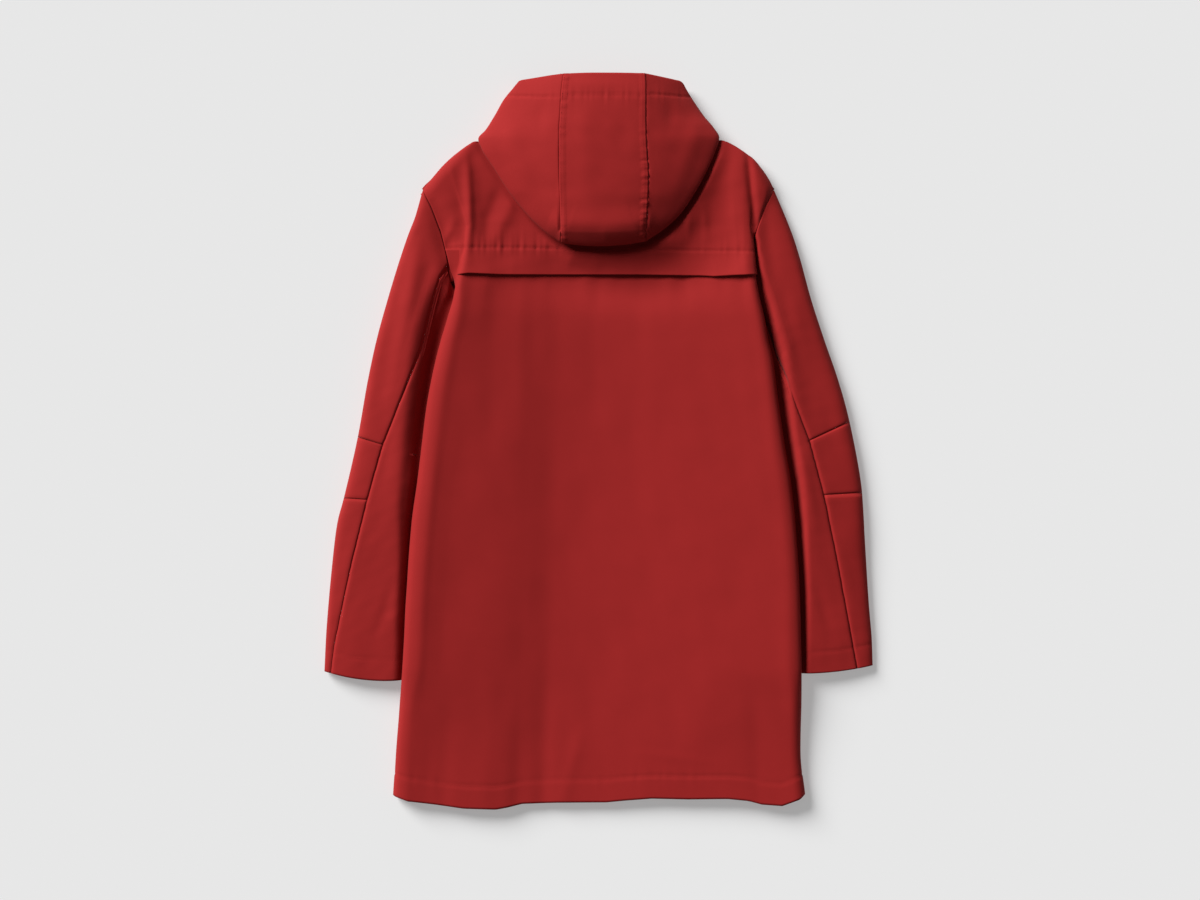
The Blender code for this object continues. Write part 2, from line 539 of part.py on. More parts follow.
def back_controls(rows):
    """Control points of the back: a row below SECTION_TOP is a section at that y, and rows from
    SECTION_TOP to SECTION_TOP + 1 go up to the shoulders and the neck."""
    y = np.minimum(rows, SECTION_TOP)
    left, right = side_controls(0, y), side_controls(1, y)[::-1]
    down = np.clip((SECTION_TOP - y) / (SECTION_TOP - HEM), 0, 1)
    x = mix(FOLDS["x_yoke"][:, None], FOLDS["x_hem"][:, None], down)
    heights = np.stack([FOLDS["at_" + str(abs(at))] for at in FOLD_HEIGHTS_AT])
    z = curve(y, FOLD_HEIGHTS_AT, heights).T
    middle = np.stack([x, np.broadcast_to(y, x.shape), z], -1)
    points = np.concatenate([left, middle, right])
    up = np.clip(rows - SECTION_TOP, 0, 1)
    top = np.stack([BACK_TOP["x"], BACK_TOP["y"]], -1)
    raised = up > 0
    points[..., :2] = mix(points[..., :2], top[:, None], up[:, None])
    for right_side, seam in ((0, 0), (1, -1)):
        at = seam_line(right_side, points[seam, :, 1])
        points[seam, :, 0] = np.where(raised, (-1, 1)[right_side] * at, points[seam, :, 0])
    inner = mix(points[..., 2], BACK_TOP["z"][:, None], up)
    for right_side, line in enumerate(SHOULDERS):
        here = slice(0, SIDE_COLUMNS) if right_side == 0 else slice(-SIDE_COLUMNS, None)
        distance = to_lines(points[here], line)
        edge = edge_height(points[here, :, 0])
        rolled = mix(edge, inner[here], rounding(distance, SHOULDER_ROLL))
        inner[here] = np.where(raised, rolled, inner[here])
        seam = 0 if right_side == 0 else -1
        on_sleeve = armhole_height(right_side, points[seam, :, 0], points[seam, :, 1])
        inner[seam] = np.where(raised, np.maximum(on_sleeve, 9), inner[seam])
    points[..., 2] = inner
    return points


def back_surface(columns, rows):
    """Outer points of the back, as (row, column, 3)."""
    controls = back_controls(rows)
    grid = curve(columns, np.arange(len(controls)), controls).transpose(1, 0, 2)
    free = np.where(inside(grid, HOOD_OUTLINE), 0, to_lines(grid, HOOD_OUTLINE))
    z = grid[..., 2]
    above = (z > PRESSED) & (rows[:, None] > 120)
    grid[..., 2] = np.where(above, mix(PRESSED, z, smooth(free / 32)), z)
    near_hem = smooth((-370 - rows) / 90)[:, None]
    hem = np.interp(grid[..., 0], HEM_LINE["x"], HEM_LINE["y"])
    grid[..., 1] += (hem - HEM) * near_hem
    return grid


BACK_COLUMNS = np.concatenate([
    np.arange(0, 8), [7.5], np.arange(8, 15), [14.5], np.arange(15, 23)])
BACK_ROWS = np.array([
    246, 235, 224, 213, 205, 198, 190, 181, 168, 155, 140, 125, 104, 79, 53, 28, 2, -24, -49, -76,
    -104, -135, -165, -195, -226, -257, -287, -303, -312, -322, -335, -358, -382, -405, -430, -448,
    HEM], float)
YOKE_RISE = np.array([1, .985, .95, .87, .74, .58, .4, .2])


def back():
    rows = np.concatenate([SECTION_TOP + YOKE_RISE, [SECTION_TOP, 260], BACK_ROWS])
    grid = back_surface(BACK_COLUMNS, rows)
    normals = grid_normals(grid)
    if normals[:, 12, 2].mean() < 0:
        normals = -normals
    for right, here in enumerate((slice(0, 8), slice(-8, None))):
        normals[0, here] = edge_normals(grid[0, here], right)
        if (normals[0, here, 0] * (-1, 1)[right]).mean() < 0:
            normals[0, here] *= -1
    top = len(YOKE_RISE) + 2  # the row at FLAP_TOP
    stop = top + 4  # the rows down to FLAP_EDGE
    yoke = grid[:stop].copy()
    inward = np.clip(np.minimum(BACK_COLUMNS - 3, 19 - BACK_COLUMNS) / 3, 0, 1)
    uneven = 1 + 0.9 * smooth((BACK_COLUMNS - 12) / 5)
    drop = np.clip((FLAP_TOP - 8 - rows[:stop]) / (FLAP_TOP - 8 - FLAP_EDGE), 0, 1) ** 1.5
    yoke += normals[:stop] * (FLAP_LIFT * inward * uneven * drop[:, None])[..., None]
    cloth_grid("back_yoke", yoke, normals[:stop])
    under = (LAYER + GAP) * smooth((rows[top:] - LAYERED_TO) / (LAYERED_FROM - LAYERED_TO))
    lower = grid[top:] - normals[top:] * under[:, None, None]
    cloth_grid("back_lower", lower, normals[top:])


# ---- the fronts ----

FRONT_RISE = np.array([1, .98, .95, .9, .8, .6, .35])
FRONT_ROWS = np.array([
    275, 240, 205, 170, 145, 131, 125, 119, 112, 104, 94, 82, 50, 10, -35, -80, -130, -180, -230,
    -275, -300, -309, -318, -327, -337, -365, -390, -415, -440, HEM], float)


def front_grid(right):
    """Outer points of a front panel, (row, column, 3)."""
    out = (-1, 1)[right]
    sleeve_side = (SLEEVE_LEFT, SLEEVE_RIGHT)[right]
    rows = np.concatenate([SECTION_TOP + FRONT_RISE, FRONT_ROWS])
    y = np.minimum(rows, SECTION_TOP)
    seam = seam_line(right, y, 0) - GAP - 0.7 * np.exp(-(((y - UNDERARM) / 7) ** 2))
    sleeve_y = sleeve_side["inner_y"][::-1]
    inner = np.interp(y, sleeve_y, np.abs(sleeve_side["inner_x"][::-1]))
    ramp = np.where(y > UNDERARM, seam - 2, inner)
    x = np.stack([
        -LAP + 0 * y, LAP + 1 + 0 * y, LAP + 16 + 0 * y, 60 + 0 * y, 95 + 0 * y,
        ramp - 27, ramp - 20, ramp - 13, ramp - 5, seam], -1)
    top_x = [-LAP, LAP + 1, LAP + 16, 60, 95, 125, 141, 156, 191, 223.7]
    neck = np.stack([FRONT_NECK["x"], FRONT_NECK["y"]], -1)[::-1]
    shoulder = np.abs(SHOULDERS[right])
    line = np.concatenate([neck, shoulder if right else shoulder[::-1]])
    top_y = np.interp(np.abs(top_x), line[:, 0], line[:, 1])
    up = np.clip(rows - SECTION_TOP, 0, 1)[:, None]
    grid = np.stack([mix(x, np.array(top_x), up) * out, mix(y[:, None] + 0 * x, top_y, up),
                     0 * x], -1)
    at_armhole = out * (seam_line(right, grid[:, -1, 1], 0) - GAP)
    grid[:, -1, 0] = np.where(up[:, 0] > 0, at_armhole, grid[:, -1, 0])
    low = np.interp(y, OVER_SLEEVES["y"][::-1], OVER_SLEEVES["z"][::-1])[:, None]
    z = low * smooth((np.abs(grid[..., 0]) - (ramp[:, None] - 26)) / 20)
    z = z + np.where(up > 0, table_roll(grid, right), 0)
    if right:
        z = z + LAYER * (1 - smooth((grid[..., 0] * out - LAP - 1) / 15))
    grid[..., 2] = z
    near_hem = smooth((-370 - rows) / 90)[:, None]
    hem = np.interp(grid[..., 0], HEM_LINE["x"], HEM_LINE["y"]) + 2
    grid[..., 1] += (hem - HEM) * near_hem
    grid[0, :, 1] -= GAP / 2
    grid[0, 7:, 2] -= 3 * GAP
    grid[:2, -1, 2] -= 4 * GAP
    return grid


def front(side):
    right = int(side == "right")
    grid = front_grid(right)
    normals = grid_normals(grid)
    if normals[..., 2].mean() > 0:
        normals = -normals
    shoulder = slice(7, None)
    normals[0, shoulder] = edge_normals(grid[0, shoulder], right)
    if (normals[0, shoulder, 0] * (-1, 1)[right]).mean() < 0:
        normals[0, shoulder] *= -1
    cloth_grid("front_" + side, grid, normals)


# ---- the hood ----

HOOD_ROWS = np.array([0, .5, 1, 1.5, 2, 3, 4, 5, 6, 7, 8, 9, 9.6, 10.2, 10.7, 11])
TOP_SHARE = (0, .2, .4, .6, .76, .88, .96, .99, 1)
TOP_FALL = (0, .14, .3, .47, .625, .755, .87, .945, 1)  # how far the top has come down at each share
UNDER_IN = (1.2, 4.5, ROLL)  # distances in from the edge, beneath
NECK_X = (125, 95, 60, 36, 21, 0.5)  # points of the neck seam, in from its side
NECK_SIDE = (141.0, 377.0)  # where the neck seam begins, beside the shoulder
NECK_BACK = 367.7  # how far up the back the neck seam lies


def hood_grids(right):
    """Outer points of a side panel: its top, its under side on the table and that on the back."""
    out = (-1, 1)[right]
    hood = (HOOD_LEFT, HOOD_RIGHT)[right]
    number = np.arange(len(hood["seam_x"]))
    row = curve(HOOD_ROWS, number, np.stack([hood[c] for c in (
        "seam_x seam_y seam_z edge_x edge_y edge_z".split())], -1))
    seam, edge = row[:, :3].copy(), row[:, 3:]
    seam[:-1, 0] += out * GAP / 2
    edge = edge.copy()
    edge[-1, 0] += out * GAP
    last = len(HOOD_ROWS) - 1
    neck = int(np.flatnonzero(HOOD_ROWS == NECK_ROW)[0])
    top = []
    for share, fall in zip(TOP_SHARE, TOP_FALL):
        top.append(np.column_stack([
            mix(seam[:, :2], edge[:, :2], share), mix(seam[:, 2], edge[:, 2], fall)]))
    top = np.stack(top, 1)
    corner = np.interp(TOP_SHARE, CORNER_RISE["share"], CORNER_RISE["y"])
    top[..., 1] += corner * (1 - smooth(HOOD_ROWS / 1.5))[:, None]
    roll = np.linspace(0, np.pi / 2, len(TOP_SHARE))
    top[last] = np.column_stack([  # the last row goes round the fold
        np.full(len(roll), seam[last, 0]) + out * GAP / 2,
        mix(seam[last, 1], edge[last, 1], np.sin(roll)),
        mix(edge[last, 2], seam[last, 2], (1 - np.sin(roll)) ** FOLD_FULLNESS)])
    # the under side that lies on the table, in front of the neck
    start = neck + 1
    end = np.column_stack([np.interp(HOOD_ROWS[:start], number, hood["end_x"]),
                           np.interp(HOOD_ROWS[:start], number, hood["end_y"])])
    line_y = np.interp(NECK_X, FRONT_NECK["x"][::-1], FRONT_NECK["y"][::-1])
    neck_end = np.array([out * NECK_X[-1], line_y[-1] + GAP / 2])
    roll_end = np.array([out * NECK_SIDE[0], NECK_SIDE[1] + GAP / 2])
    run = unit(end - edge[:start, :2])
    run[-1] = unit(roll_end - edge[neck, :2])
    table_side = []
    for distance in UNDER_IN:
        length = distance * (1.3 if distance == ROLL else 1)
        plan = edge[:start, :2] + run * length
        z = edge[:start, 2] * (1 - rounding(np.float64(distance), ROLL))
        table_side.append(np.column_stack([plan, z]))
    share = (NECK_SIDE[0] - np.array(NECK_X)) / (NECK_SIDE[0] - NECK_X[-1])
    first = table_side[-1][:, :2]
    for t, y_neck in zip(share, line_y):
        straight = mix(roll_end, neck_end, t)
        bow = (y_neck + GAP / 2 - straight[1]) * smooth(HOOD_ROWS[:start] / NECK_ROW)
        plan = mix(first, end, t)
        plan[:, 1] += bow
        plan[-1] = (mix(roll_end[0], neck_end[0], t), y_neck + GAP / 2)
        table_side.append(np.column_stack([plan, np.zeros(start)]))
    table_side = np.stack(table_side, 1)
    # the under side that lies on the back
    rest = HOOD_ROWS[neck:]
    end_row = np.arange(NECK_ROW, len(number))
    end_x = np.interp(rest, end_row, np.r_[hood["end_x"][6], hood["end_x"][6:]])
    end_y = np.interp(rest, end_row, np.r_[NECK_BACK, hood["end_y"][6:]])
    end = np.column_stack([end_x + out * GAP / 2, end_y])
    rim = edge[neck:]
    back_side = []
    lower = HOOD_LOW + 0 * rest
    for share, drop in ((.03, .45), (.12, .12), (.3, 0), (.5, 0), (.75, 0), (1, 0)):
        plan = mix(rim[:, :2], end, share)
        back_side.append(np.column_stack([plan, mix(lower, rim[:, 2], drop)]))
    back_side = np.stack(back_side, 1)
    roll = np.linspace(0, np.pi / 2, 7)[1:]
    back_side[-1] = np.column_stack([
        np.full(6, top[last, 0, 0]), mix(end[-1, 1], rim[-1, 1], np.cos(roll)),
        mix(rim[-1, 2], HOOD_LOW, np.sin(roll))])
    return top, table_side, back_side


def hood_side(side):
    """One mesh: the top, and the two under sides joined to it along the edge."""
    right = int(side == "right")
    top, table_side, back_side = hood_grids(right)
    start = table_side.shape[0]
    neck, last = start - 1, len(top) - 1
    points = [top.reshape(-1, 3), table_side.reshape(-1, 3), back_side.reshape(-1, 3)]
    top_index = np.arange(top.shape[0] * top.shape[1]).reshape(top.shape[:2])
    table_index = top_index.size + np.arange(len(points[1])).reshape(table_side.shape[:2])
    back_index = top_index.size + table_index.size + np.arange(len(points[2]))
    back_index = back_index.reshape(back_side.shape[:2])
    faces = np.concatenate([
        quads(top_index), quads(np.column_stack([top_index[:start, -1], table_index])),
        quads(np.column_stack([top_index[neck:, -1], back_index]))])
    points = np.concatenate(points)
    normals = face_normals(points, faces)
    if normals[top_index[6, 1], 2] < 0:
        faces, normals = faces[:, ::-1], -normals
    along = table_side[-1, -1] - table_side[-1, 2]
    along = unit(along * (1, 1, 0))
    across = np.array([-along[1], along[0], 0])
    neck_line = np.r_[top_index[neck, -1], table_index[-1]]
    level = normals[neck_line]
    normals[neck_line] = unit(level - (level @ across)[:, None] * across)
    path = np.concatenate([top_index[:last, 0], top_index[last], back_index[-1],
                           back_index[-2::-1, -1]])
    return points, normals, faces, path


def face_normals(points, faces):
    corners = points[faces]
    facing = np.cross(corners[:, 2] - corners[:, 0], corners[:, 3] - corners[:, 1])
    normals = np.zeros_like(points)
    for corner in range(4):
        np.add.at(normals, faces[:, corner], facing)
    return unit(normals)


def hood():
    """The two side panels and the centre panel, which share the directions of their seams."""
    sides = [hood_side("left"), hood_side("right")]
    paths = [points[path] for points, _, _, path in sides]
    share = np.linspace(0, 1, 8)
    left, right = paths[0].copy(), paths[1].copy()
    left[:, 0] += GAP
    right[:, 0] -= GAP
    grid = mix(left[:, None], right[:, None], share[None, :, None])
    rows = np.arange(len(left))
    last = len(HOOD_ROWS) - 1
    swell = np.where(rows < last, 1, np.cos(np.clip((rows - last) / 14, 0, 1) * np.pi / 2) ** 2)
    swell = np.where(rows < 1, 0.6, swell)
    bulge = 4 * share * (1 - share)
    grid[..., 2] += HOOD_CROWN * swell[:, None] * bulge
    grid[0, :, 1] += 0.8 * bulge
    round_fold = np.exp(-((rows - last - 8) / 6.0) ** 2)
    grid[..., 1] -= 5.4 * round_fold[:, None] * bulge
    normals = grid_normals(grid)
    if normals[3, 4, 2] < 0:
        normals = -normals
    for edge, (points, side_normals, faces, path) in zip((0, -1), sides):
        shared = unit(normals[:, edge] + side_normals[path])
        normals[:, edge] = shared
        side_normals[path] = shared
    cloth_grid("hood_centre", grid, normals)
    for side, (points, side_normals, faces, path) in zip(("left", "right"), sides):
        cloth("hood_side_" + side, points, side_normals, faces)


for old in list(bpy.data.objects):
    bpy.data.objects.remove(old, do_unlink=True)
back()
for which in ("left", "right"):
    front(which)
    sleeve(which)
hood()
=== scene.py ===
# %% [markdown]
# # A hooded parka, laid flat
#
# A coat laid out on a table is a lesson in how little cloth needs to do to look like cloth. Each
# panel is a thin sheet with two sides and a rim. Where two layers lie on each other the upper one
# bends, and along every seam the thread pulls small puckers into it. This notebook builds the
# visible garment on the CAD model's own sections, at a finer spacing, and then lays the creases
# on.

import bpy
import numpy as np
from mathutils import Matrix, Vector


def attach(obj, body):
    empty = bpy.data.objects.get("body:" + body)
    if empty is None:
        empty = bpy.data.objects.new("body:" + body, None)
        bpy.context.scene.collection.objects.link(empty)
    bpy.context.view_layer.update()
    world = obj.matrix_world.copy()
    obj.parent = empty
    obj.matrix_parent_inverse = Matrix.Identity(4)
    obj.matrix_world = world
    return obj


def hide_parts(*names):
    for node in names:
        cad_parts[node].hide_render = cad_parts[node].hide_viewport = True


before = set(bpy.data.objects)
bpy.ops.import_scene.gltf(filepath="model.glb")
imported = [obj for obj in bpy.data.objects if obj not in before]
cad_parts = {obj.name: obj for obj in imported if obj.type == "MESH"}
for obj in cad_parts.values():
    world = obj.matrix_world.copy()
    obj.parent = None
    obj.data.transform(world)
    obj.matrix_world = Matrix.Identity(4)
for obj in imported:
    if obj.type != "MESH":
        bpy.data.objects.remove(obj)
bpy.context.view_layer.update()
print("CAD pieces:", ", ".join(sorted(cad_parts)))

# %% [markdown]
# ## The sizes the shape is drawn from
#
# These are the CAD model's numbers, in millimetres, because the visible cloth has to follow the
# same form. Two of them differ. The gap at a seam is 0.12 instead of 0.3, so that less light
# comes through it, and the left sleeve's fall bends a little lower. A short table says what a
# section is, row by row: where the side fold is, how high it rolls, where its foot lies. Curves
# drawn between the rows give as many points as a picture needs.

# %% Named sizes
MM = 0.001
WALL = 1.5  # thickness of the cloth
GAP = 0.12  # between two pieces at a seam
LAYER = WALL + GAP  # from one layer's outer side to that of the layer under it
LAP = 20.0  # each front goes this far past the centre line
FLAP_TOP = 246.0  # where the yoke is stitched down
FLAP_EDGE = 213.0  # the yoke's loose lower edge
FLAP_LIFT = 1.6  # how far that edge stands off the panel under it
LAYERED_TO = 160.0  # down to here the panel under the flap lies a layer lower
LAYERED_FROM = 210.0  # and from here up it lies there fully
SECTION_TOP = 275.0  # above this the back is drawn up to the shoulders and the neck
HEM = -460.0
PRESSED = 17.8  # height of the back where the hood lies on it
HOOD_LOW = 18.6  # height of the hood's lower layer
TUCKED = 9.0  # height of a sleeve where the body lies on it
COVERED = 10.8  # height of a sleeve where the body's fold begins to cover it
SHOULDER_ROLL = 14.0  # width of the rounding along the shoulders
ROLL = 12.0  # width of the rounding along the table
HEM_FROM, HEM_REACH = -370, 90  # below this y the rows bend to the hem's line, over this distance
SIDES = ("left", "right")
OUT = (-1, 1)  # which way along X leads outwards on each side


def table(columns, rows):
    """A table as a dictionary with one array for each named column."""
    return dict(zip(columns.split(), np.array(rows, float).T))


def xy(lines):
    """The x and y columns of a table as points."""
    return np.stack([lines["x"], lines["y"]], -1)


def at_height(y, lines, column):
    """A column of a table whose rows go down the garment, read at any y."""
    return np.interp(y, lines["y"][::-1], lines[column][::-1])


# %% The back's sections
# One row for each height on the back. Distances are from the centre line, out to the side: edge is
# the side fold, ridge the top of the fold's roll, foot its inner end.
BACK_LEFT = table("y edge edge_z ridge ridge_z foot foot_z", [
    (275, 169.0, 20.0, 162.5, 23.0, 140, 19.5),
    (246, 172.0, 21.0, 165.0, 26.0, 140, 22),
    (235, 176.0, 21.5, 167.5, 28.0, 141, 23.5),
    (224, 179.0, 22.0, 170.5, 30.0, 142, 25),
    (213, 182.0, 22.0, 173.0, 31.5, 143, 26.5),
    (198, 184.6, 22.0, 175.0, 33.0, 145, 28),
    (181, 186.9, 22.0, 175.8, 33.5, 148, 28.5),
    (155, 193.9, 21.5, 179.9, 33.5, 152, 29),
    (130, 201.5, 21.0, 186.5, 33.5, 157, 29),
    (104, 207.9, 21.5, 191.5, 33.5, 162, 29),
    (53, 218.1, 22.0, 200.5, 33.5, 169, 29.5),
    (2, 224.5, 22.0, 206.5, 33.5, 176, 29.5),
    (-49, 230.9, 22.0, 212.5, 33.5, 184, 29.5),
    (-104, 238.4, 22.0, 218.5, 33.5, 190, 29.5),
    (-195, 245.0, 22.0, 225.5, 32.5, 197, 28.5),
    (-287, 250.1, 21.5, 230.5, 30.5, 202, 27),
    (-335, 254.2, 13.0, 237.5, 25.5, 206, 24),
    (-382, 257.8, 11.0, 241.5, 21.5, 208, 20),
    (-460, 262.2, 8.5, 245.5, 17.0, 212, 15.5),
])
BACK_RIGHT = table("y edge edge_z ridge ridge_z foot foot_z", [
    (275, 195.2, 21.0, 186.0, 23.5, 165, 20),
    (246, 199.0, 21.5, 188.0, 26.0, 165, 21.5),
    (235, 200.0, 21.5, 188.5, 27.5, 165, 22.5),
    (224, 201.0, 22.0, 189.0, 29.0, 166, 24),
    (213, 202.3, 22.0, 190.9, 30.0, 166, 25.5),
    (198, 204.5, 22.0, 193.7, 31.0, 167, 26.5),
    (181, 207.1, 22.5, 197.1, 31.5, 168, 27.5),
    (155, 212.2, 22.5, 202.0, 31.5, 172, 28),
    (130, 216.1, 22.5, 206.0, 31.5, 176, 28),
    (104, 222.5, 22.5, 211.0, 31.5, 180, 28),
    (53, 228.9, 22.5, 217.0, 31.5, 186, 28.5),
    (2, 235.9, 22.5, 222.0, 31.5, 190, 28.5),
    (-49, 244.5, 22.5, 230.0, 31.5, 197, 28.5),
    (-104, 251.0, 22.5, 236.0, 31.0, 202, 28),
    (-195, 256.5, 22.0, 242.0, 30.0, 207, 27.5),
    (-287, 258.7, 21.5, 243.0, 29.0, 210, 26.5),
    (-335, 259.1, 13.0, 246.0, 25.0, 212, 23),
    (-394, 258.5, 11.0, 246.0, 20.5, 212, 19),
    (-460, 263.7, 9.0, 251.0, 18.0, 214, 16.5),
])
BACKS = (BACK_LEFT, BACK_RIGHT)
SIDE_SEAM = table("y left right", [
    (125, 150, 150), (104, 160, 160), (53, 174, 176), (2, 190, 192), (-49, 200, 202),
    (-104, 207, 210), (-195, 214, 216), (-287, 219, 220), (-335, 223, 222), (-460, 228, 226),
])
UNDERARM = 125.0
# The folds between, from left to right: where each is at the yoke and at the hem, and its height
# at six places down the back.
FOLDS = table("x_yoke x_hem at_275 at_120 at_0 at_150 at_300 at_460", [
    (-113, -150, 18.5, 24.5, 24.5, 24.5, 22.5, 16.0),
    (-75, -102, 18.5, 20.5, 19.8, 19.5, 17.0, 12.5),
    (-42, -64, 18.5, 17.5, 16.0, 15.5, 14.0, 12.0),
    (-5, -16, 18.5, 16.5, 14.6, 14.5, 13.8, 12.5),
    (40, 36, 18.5, 17.8, 16.4, 16.2, 15.5, 13.8),
    (85, 86, 18.5, 20.5, 19.8, 19.5, 18.3, 14.8),
    (132, 145, 18.5, 23.6, 23.6, 23.4, 22.0, 16.0),
])
FOLD_HEIGHTS_AT = (275, 120, 0, -150, -300, -460)
# Where each column of the back meets the shoulder or the neck, and its height a little way in.
BACK_TOP = table("x y z", [
    (-224.8, 321.3, 9.0), (-219.0, 329.0, 18.0), (-211.0, 338.0, 20.0), (-198.0, 353.3, 21.0),
    (-190.0, 361.0, 22.0), (-181.0, 368.5, 22.0), (-168.0, 377.5, 20.0), (-155.0, 383.8, 18.0),
    (-113.0, 378.0, PRESSED), (-75.0, 371.5, PRESSED), (-42.0, 367.5, PRESSED),
    (-5.0, 366.5, PRESSED), (40.0, 367.5, PRESSED), (85.0, 373.0, PRESSED),
    (132.0, 381.0, PRESSED),
    (156.0, 384.8, 17.8), (168.0, 380.0, 18.0), (185.0, 370.5, 19.5), (196.6, 362.4, 21.0),
    (207.0, 350.5, 21.0), (214.0, 341.0, 20.0), (219.5, 332.0, 18.0), (224.1, 321.9, 9.0),
])
# Height of the body's under side where it lies over the sleeves.
OVER_SLEEVES = table("y z", [
    (128, 0.0), (124, 6.5), (113, 9.0), (98, 10.0), (-306, 10.0), (-335, 0.0),
])
# Height of the edge along the shoulders and the hood's sides, by distance from the centre line.
EDGE_HEIGHT = table("x z", [
    (105, 8.5), (128, 11.0), (142, 14.0), (154, 17.0), (170, 15.0), (200, 12.0), (225, 9.0),
])
HEM_LINE = table("x y", [
    (-266, -449.0), (-259.3, -453.5), (-243.6, -459.4), (-211.2, -463.2), (-172, -468.7),
    (-130.9, -470.0), (-117.2, -467.6), (-97.5, -462.8), (-52.5, -461.3), (10, -460.9),
    (30, -458.9), (67.5, -455.9), (114.4, -457), (165, -456.3), (191.5, -458.9),
    (208.4, -463.5), (234.6, -465.3), (257.2, -457), (265, -449.0),
])

# %% The sleeves' sections
# One row for each section of a sleeve, from the armhole to the cuff: its outer and inner ends as
# seen from above, the height of its crest, and its height at the inner end.
SLEEVE_LEFT = table("outer_x outer_y inner_x inner_y crest tuck", [
    (-224.8, 321.3, -150.0, 125.0, 21.0, 3.8),
    (-234.6, 286.6, -152.5, 112.0, 23.0, 4.8),
    (-242.7, 265.7, -155.0, 100.0, 24.5, 6.0),
    (-254.2, 231.8, -158.0, 85.0, 26.0, 8.0),
    (-269.6, 181.0, -162.5, 62.0, 27.5, TUCKED),
    (-283.6, 130.0, -166.5, 38.0, 28.0, TUCKED),
    (-294.7, 78.7, -170.5, 9.0, 28.0, TUCKED),
    (-307.7, 5.6, -175.0, -35.0, 27.0, TUCKED),
    (-325.5, -72.1, -190.0, -82.0, 26.5, TUCKED),
    (-334.0, -105.0, -193.0, -110.0, 25.0, TUCKED),
    (-340.4, -156.4, -199.0, -160.0, 23.0, TUCKED),
    (-348.3, -247.7, -210.0, -248.0, 20.0, TUCKED),
    (-350.5, -293.5, -220.0, -300.0, 17.0, TUCKED),
])
SLEEVE_RIGHT = table("outer_x outer_y inner_x inner_y crest tuck", [
    (224.1, 321.9, 150.0, 125.0, 20.0, 3.8),
    (235.9, 294.5, 152.5, 112.0, 22.0, 4.2),
    (248.8, 261.8, 155.0, 100.0, 23.5, 4.8),
    (257.8, 233.1, 158.0, 85.0, 25.0, 6.5),
    (271.9, 181.0, 163.0, 62.0, 26.5, TUCKED),
    (288.5, 130.0, 168.0, 38.0, 27.0, TUCKED),
    (306.2, 78.7, 172.5, 9.0, 27.0, TUCKED),
    (320.9, 25.0, 180.0, -40.0, 27.0, TUCKED),
    (336.9, -65.5, 200.0, -73.0, 26.0, TUCKED),
    (340.1, -119.7, 204.0, -115.0, 25.0, TUCKED),
    (345.3, -203.4, 212.0, -200.0, 21.0, TUCKED),
    (349.5, -255.0, 217.0, -255.0, 19.0, TUCKED),
    (350.5, -286.0, 220.0, -294.0, 17.0, TUCKED),
])
SLEEVES = (SLEEVE_LEFT, SLEEVE_RIGHT)
CUFF_ROW = 12
ELBOW_ROWS = (7, 8)  # the rows above that lie on the two cross seams
# How wide a sleeve's fall towards the body is, by row.
FALL = table("row left right", [
    (0, 36, 12), (1.6, 42, 16), (4, 42, 23), (5.5, 32, 21), (8, 24, 18), (10, 15, 14), (12, 11, 11),
])
# Where the fall bends, left and right: shares of its width and of its height.
FALL_BEND = ((0.4, 0.6), (0.27, 0.0))
UNDER_FROM = (1.5, 7.0)  # how far inside the body's edge the sleeve is down at its TUCKED height
# Heights along a sleeve's top as shares of its crest, from the outer edge to where the fall begins.
TOP_RISE = ((0.4, 0.66, 0.79, 0.91, 1), (0.3, 0.49, 0.64, 0.83, 1))
ARMHOLE_BOW = table("share x", [
    (0.0, 0.0), (0.11, 2.9), (0.27, 3.0), (0.44, -1.0), (0.63, -7.4), (0.8, -9.5),
    (0.92, -3.5), (1.0, 0.0),
])  # how far the armhole stands out from the straight line between its ends
CUFF_BOW = (-8.7, -5.5)  # how far the cuff's middle hangs past its ends, left and right
BACK_SEAM_LEFT = table("x y", [
    (-192.8, 221.3), (-202.6, 207.0), (-224.8, 117.0), (-241.2, 78.7), (-275.6, -6.1),
    (-294.7, -74.1), (-316.9, -164.2), (-337.8, -260.9), (-344.0, -310.0),
])
BACK_SEAM_RIGHT = table("x y", [
    (188.5, 221.0), (200.0, 190.0), (214.0, 150.0), (228.4, 104.3), (239.5, 78.7),
    (269.6, 0.4), (287.9, -68.1), (303.5, -143.4), (319.2, -226.9), (333.0, -300.0),
])

BACK_SEAMS = (xy(BACK_SEAM_LEFT), xy(BACK_SEAM_RIGHT))

# %% The hood's sections
# One row for each section of the hood, from its opening to its lower fold: the seam with the centre
# panel, the outer edge, and where the section's under side ends.
HOOD_LEFT = table("seam_x seam_y seam_z edge_x edge_y edge_z end_x end_y", [
    (-44.4, 468.3, 36.0, -105.1, 455.3, 15.5, -0.5, 360.0),
    (-46.5, 455.0, 41.0, -114.0, 445.5, 16.0, -0.5, 353.0),
    (-48.0, 437.0, 45.0, -122.0, 435.0, 16.5, -0.5, 346.0),
    (-49.0, 415.0, 48.5, -133.0, 415.5, 17.0, -0.5, 339.0),
    (-50.0, 397.0, 51.0, -144.0, 398.0, 18.0, -0.5, 332.0),
    (-50.0, 380.0, 52.5, -153.6, 386.0, 19.0, -0.5, 325.15),
    (-50.0, 362.0, 53.0, -148.5, 371.5, 22.0, -50.0, 352.0),
    (-50.0, 340.0, 53.5, -131.6, 345.0, 26.0, -50.0, 333.0),
    (-49.5, 315.0, 53.0, -111.7, 314.2, 28.0, -50.0, 312.0),
    (-49.0, 295.0, 51.0, -91.9, 289.9, 29.0, -49.0, 293.0),
    (-48.5, 279.0, 48.0, -72.1, 270.1, 30.0, -48.0, 278.0),
    (-48.0, 268.0, 44.5, -47.9, 252.8, 30.0, -48.0, 267.0),
])
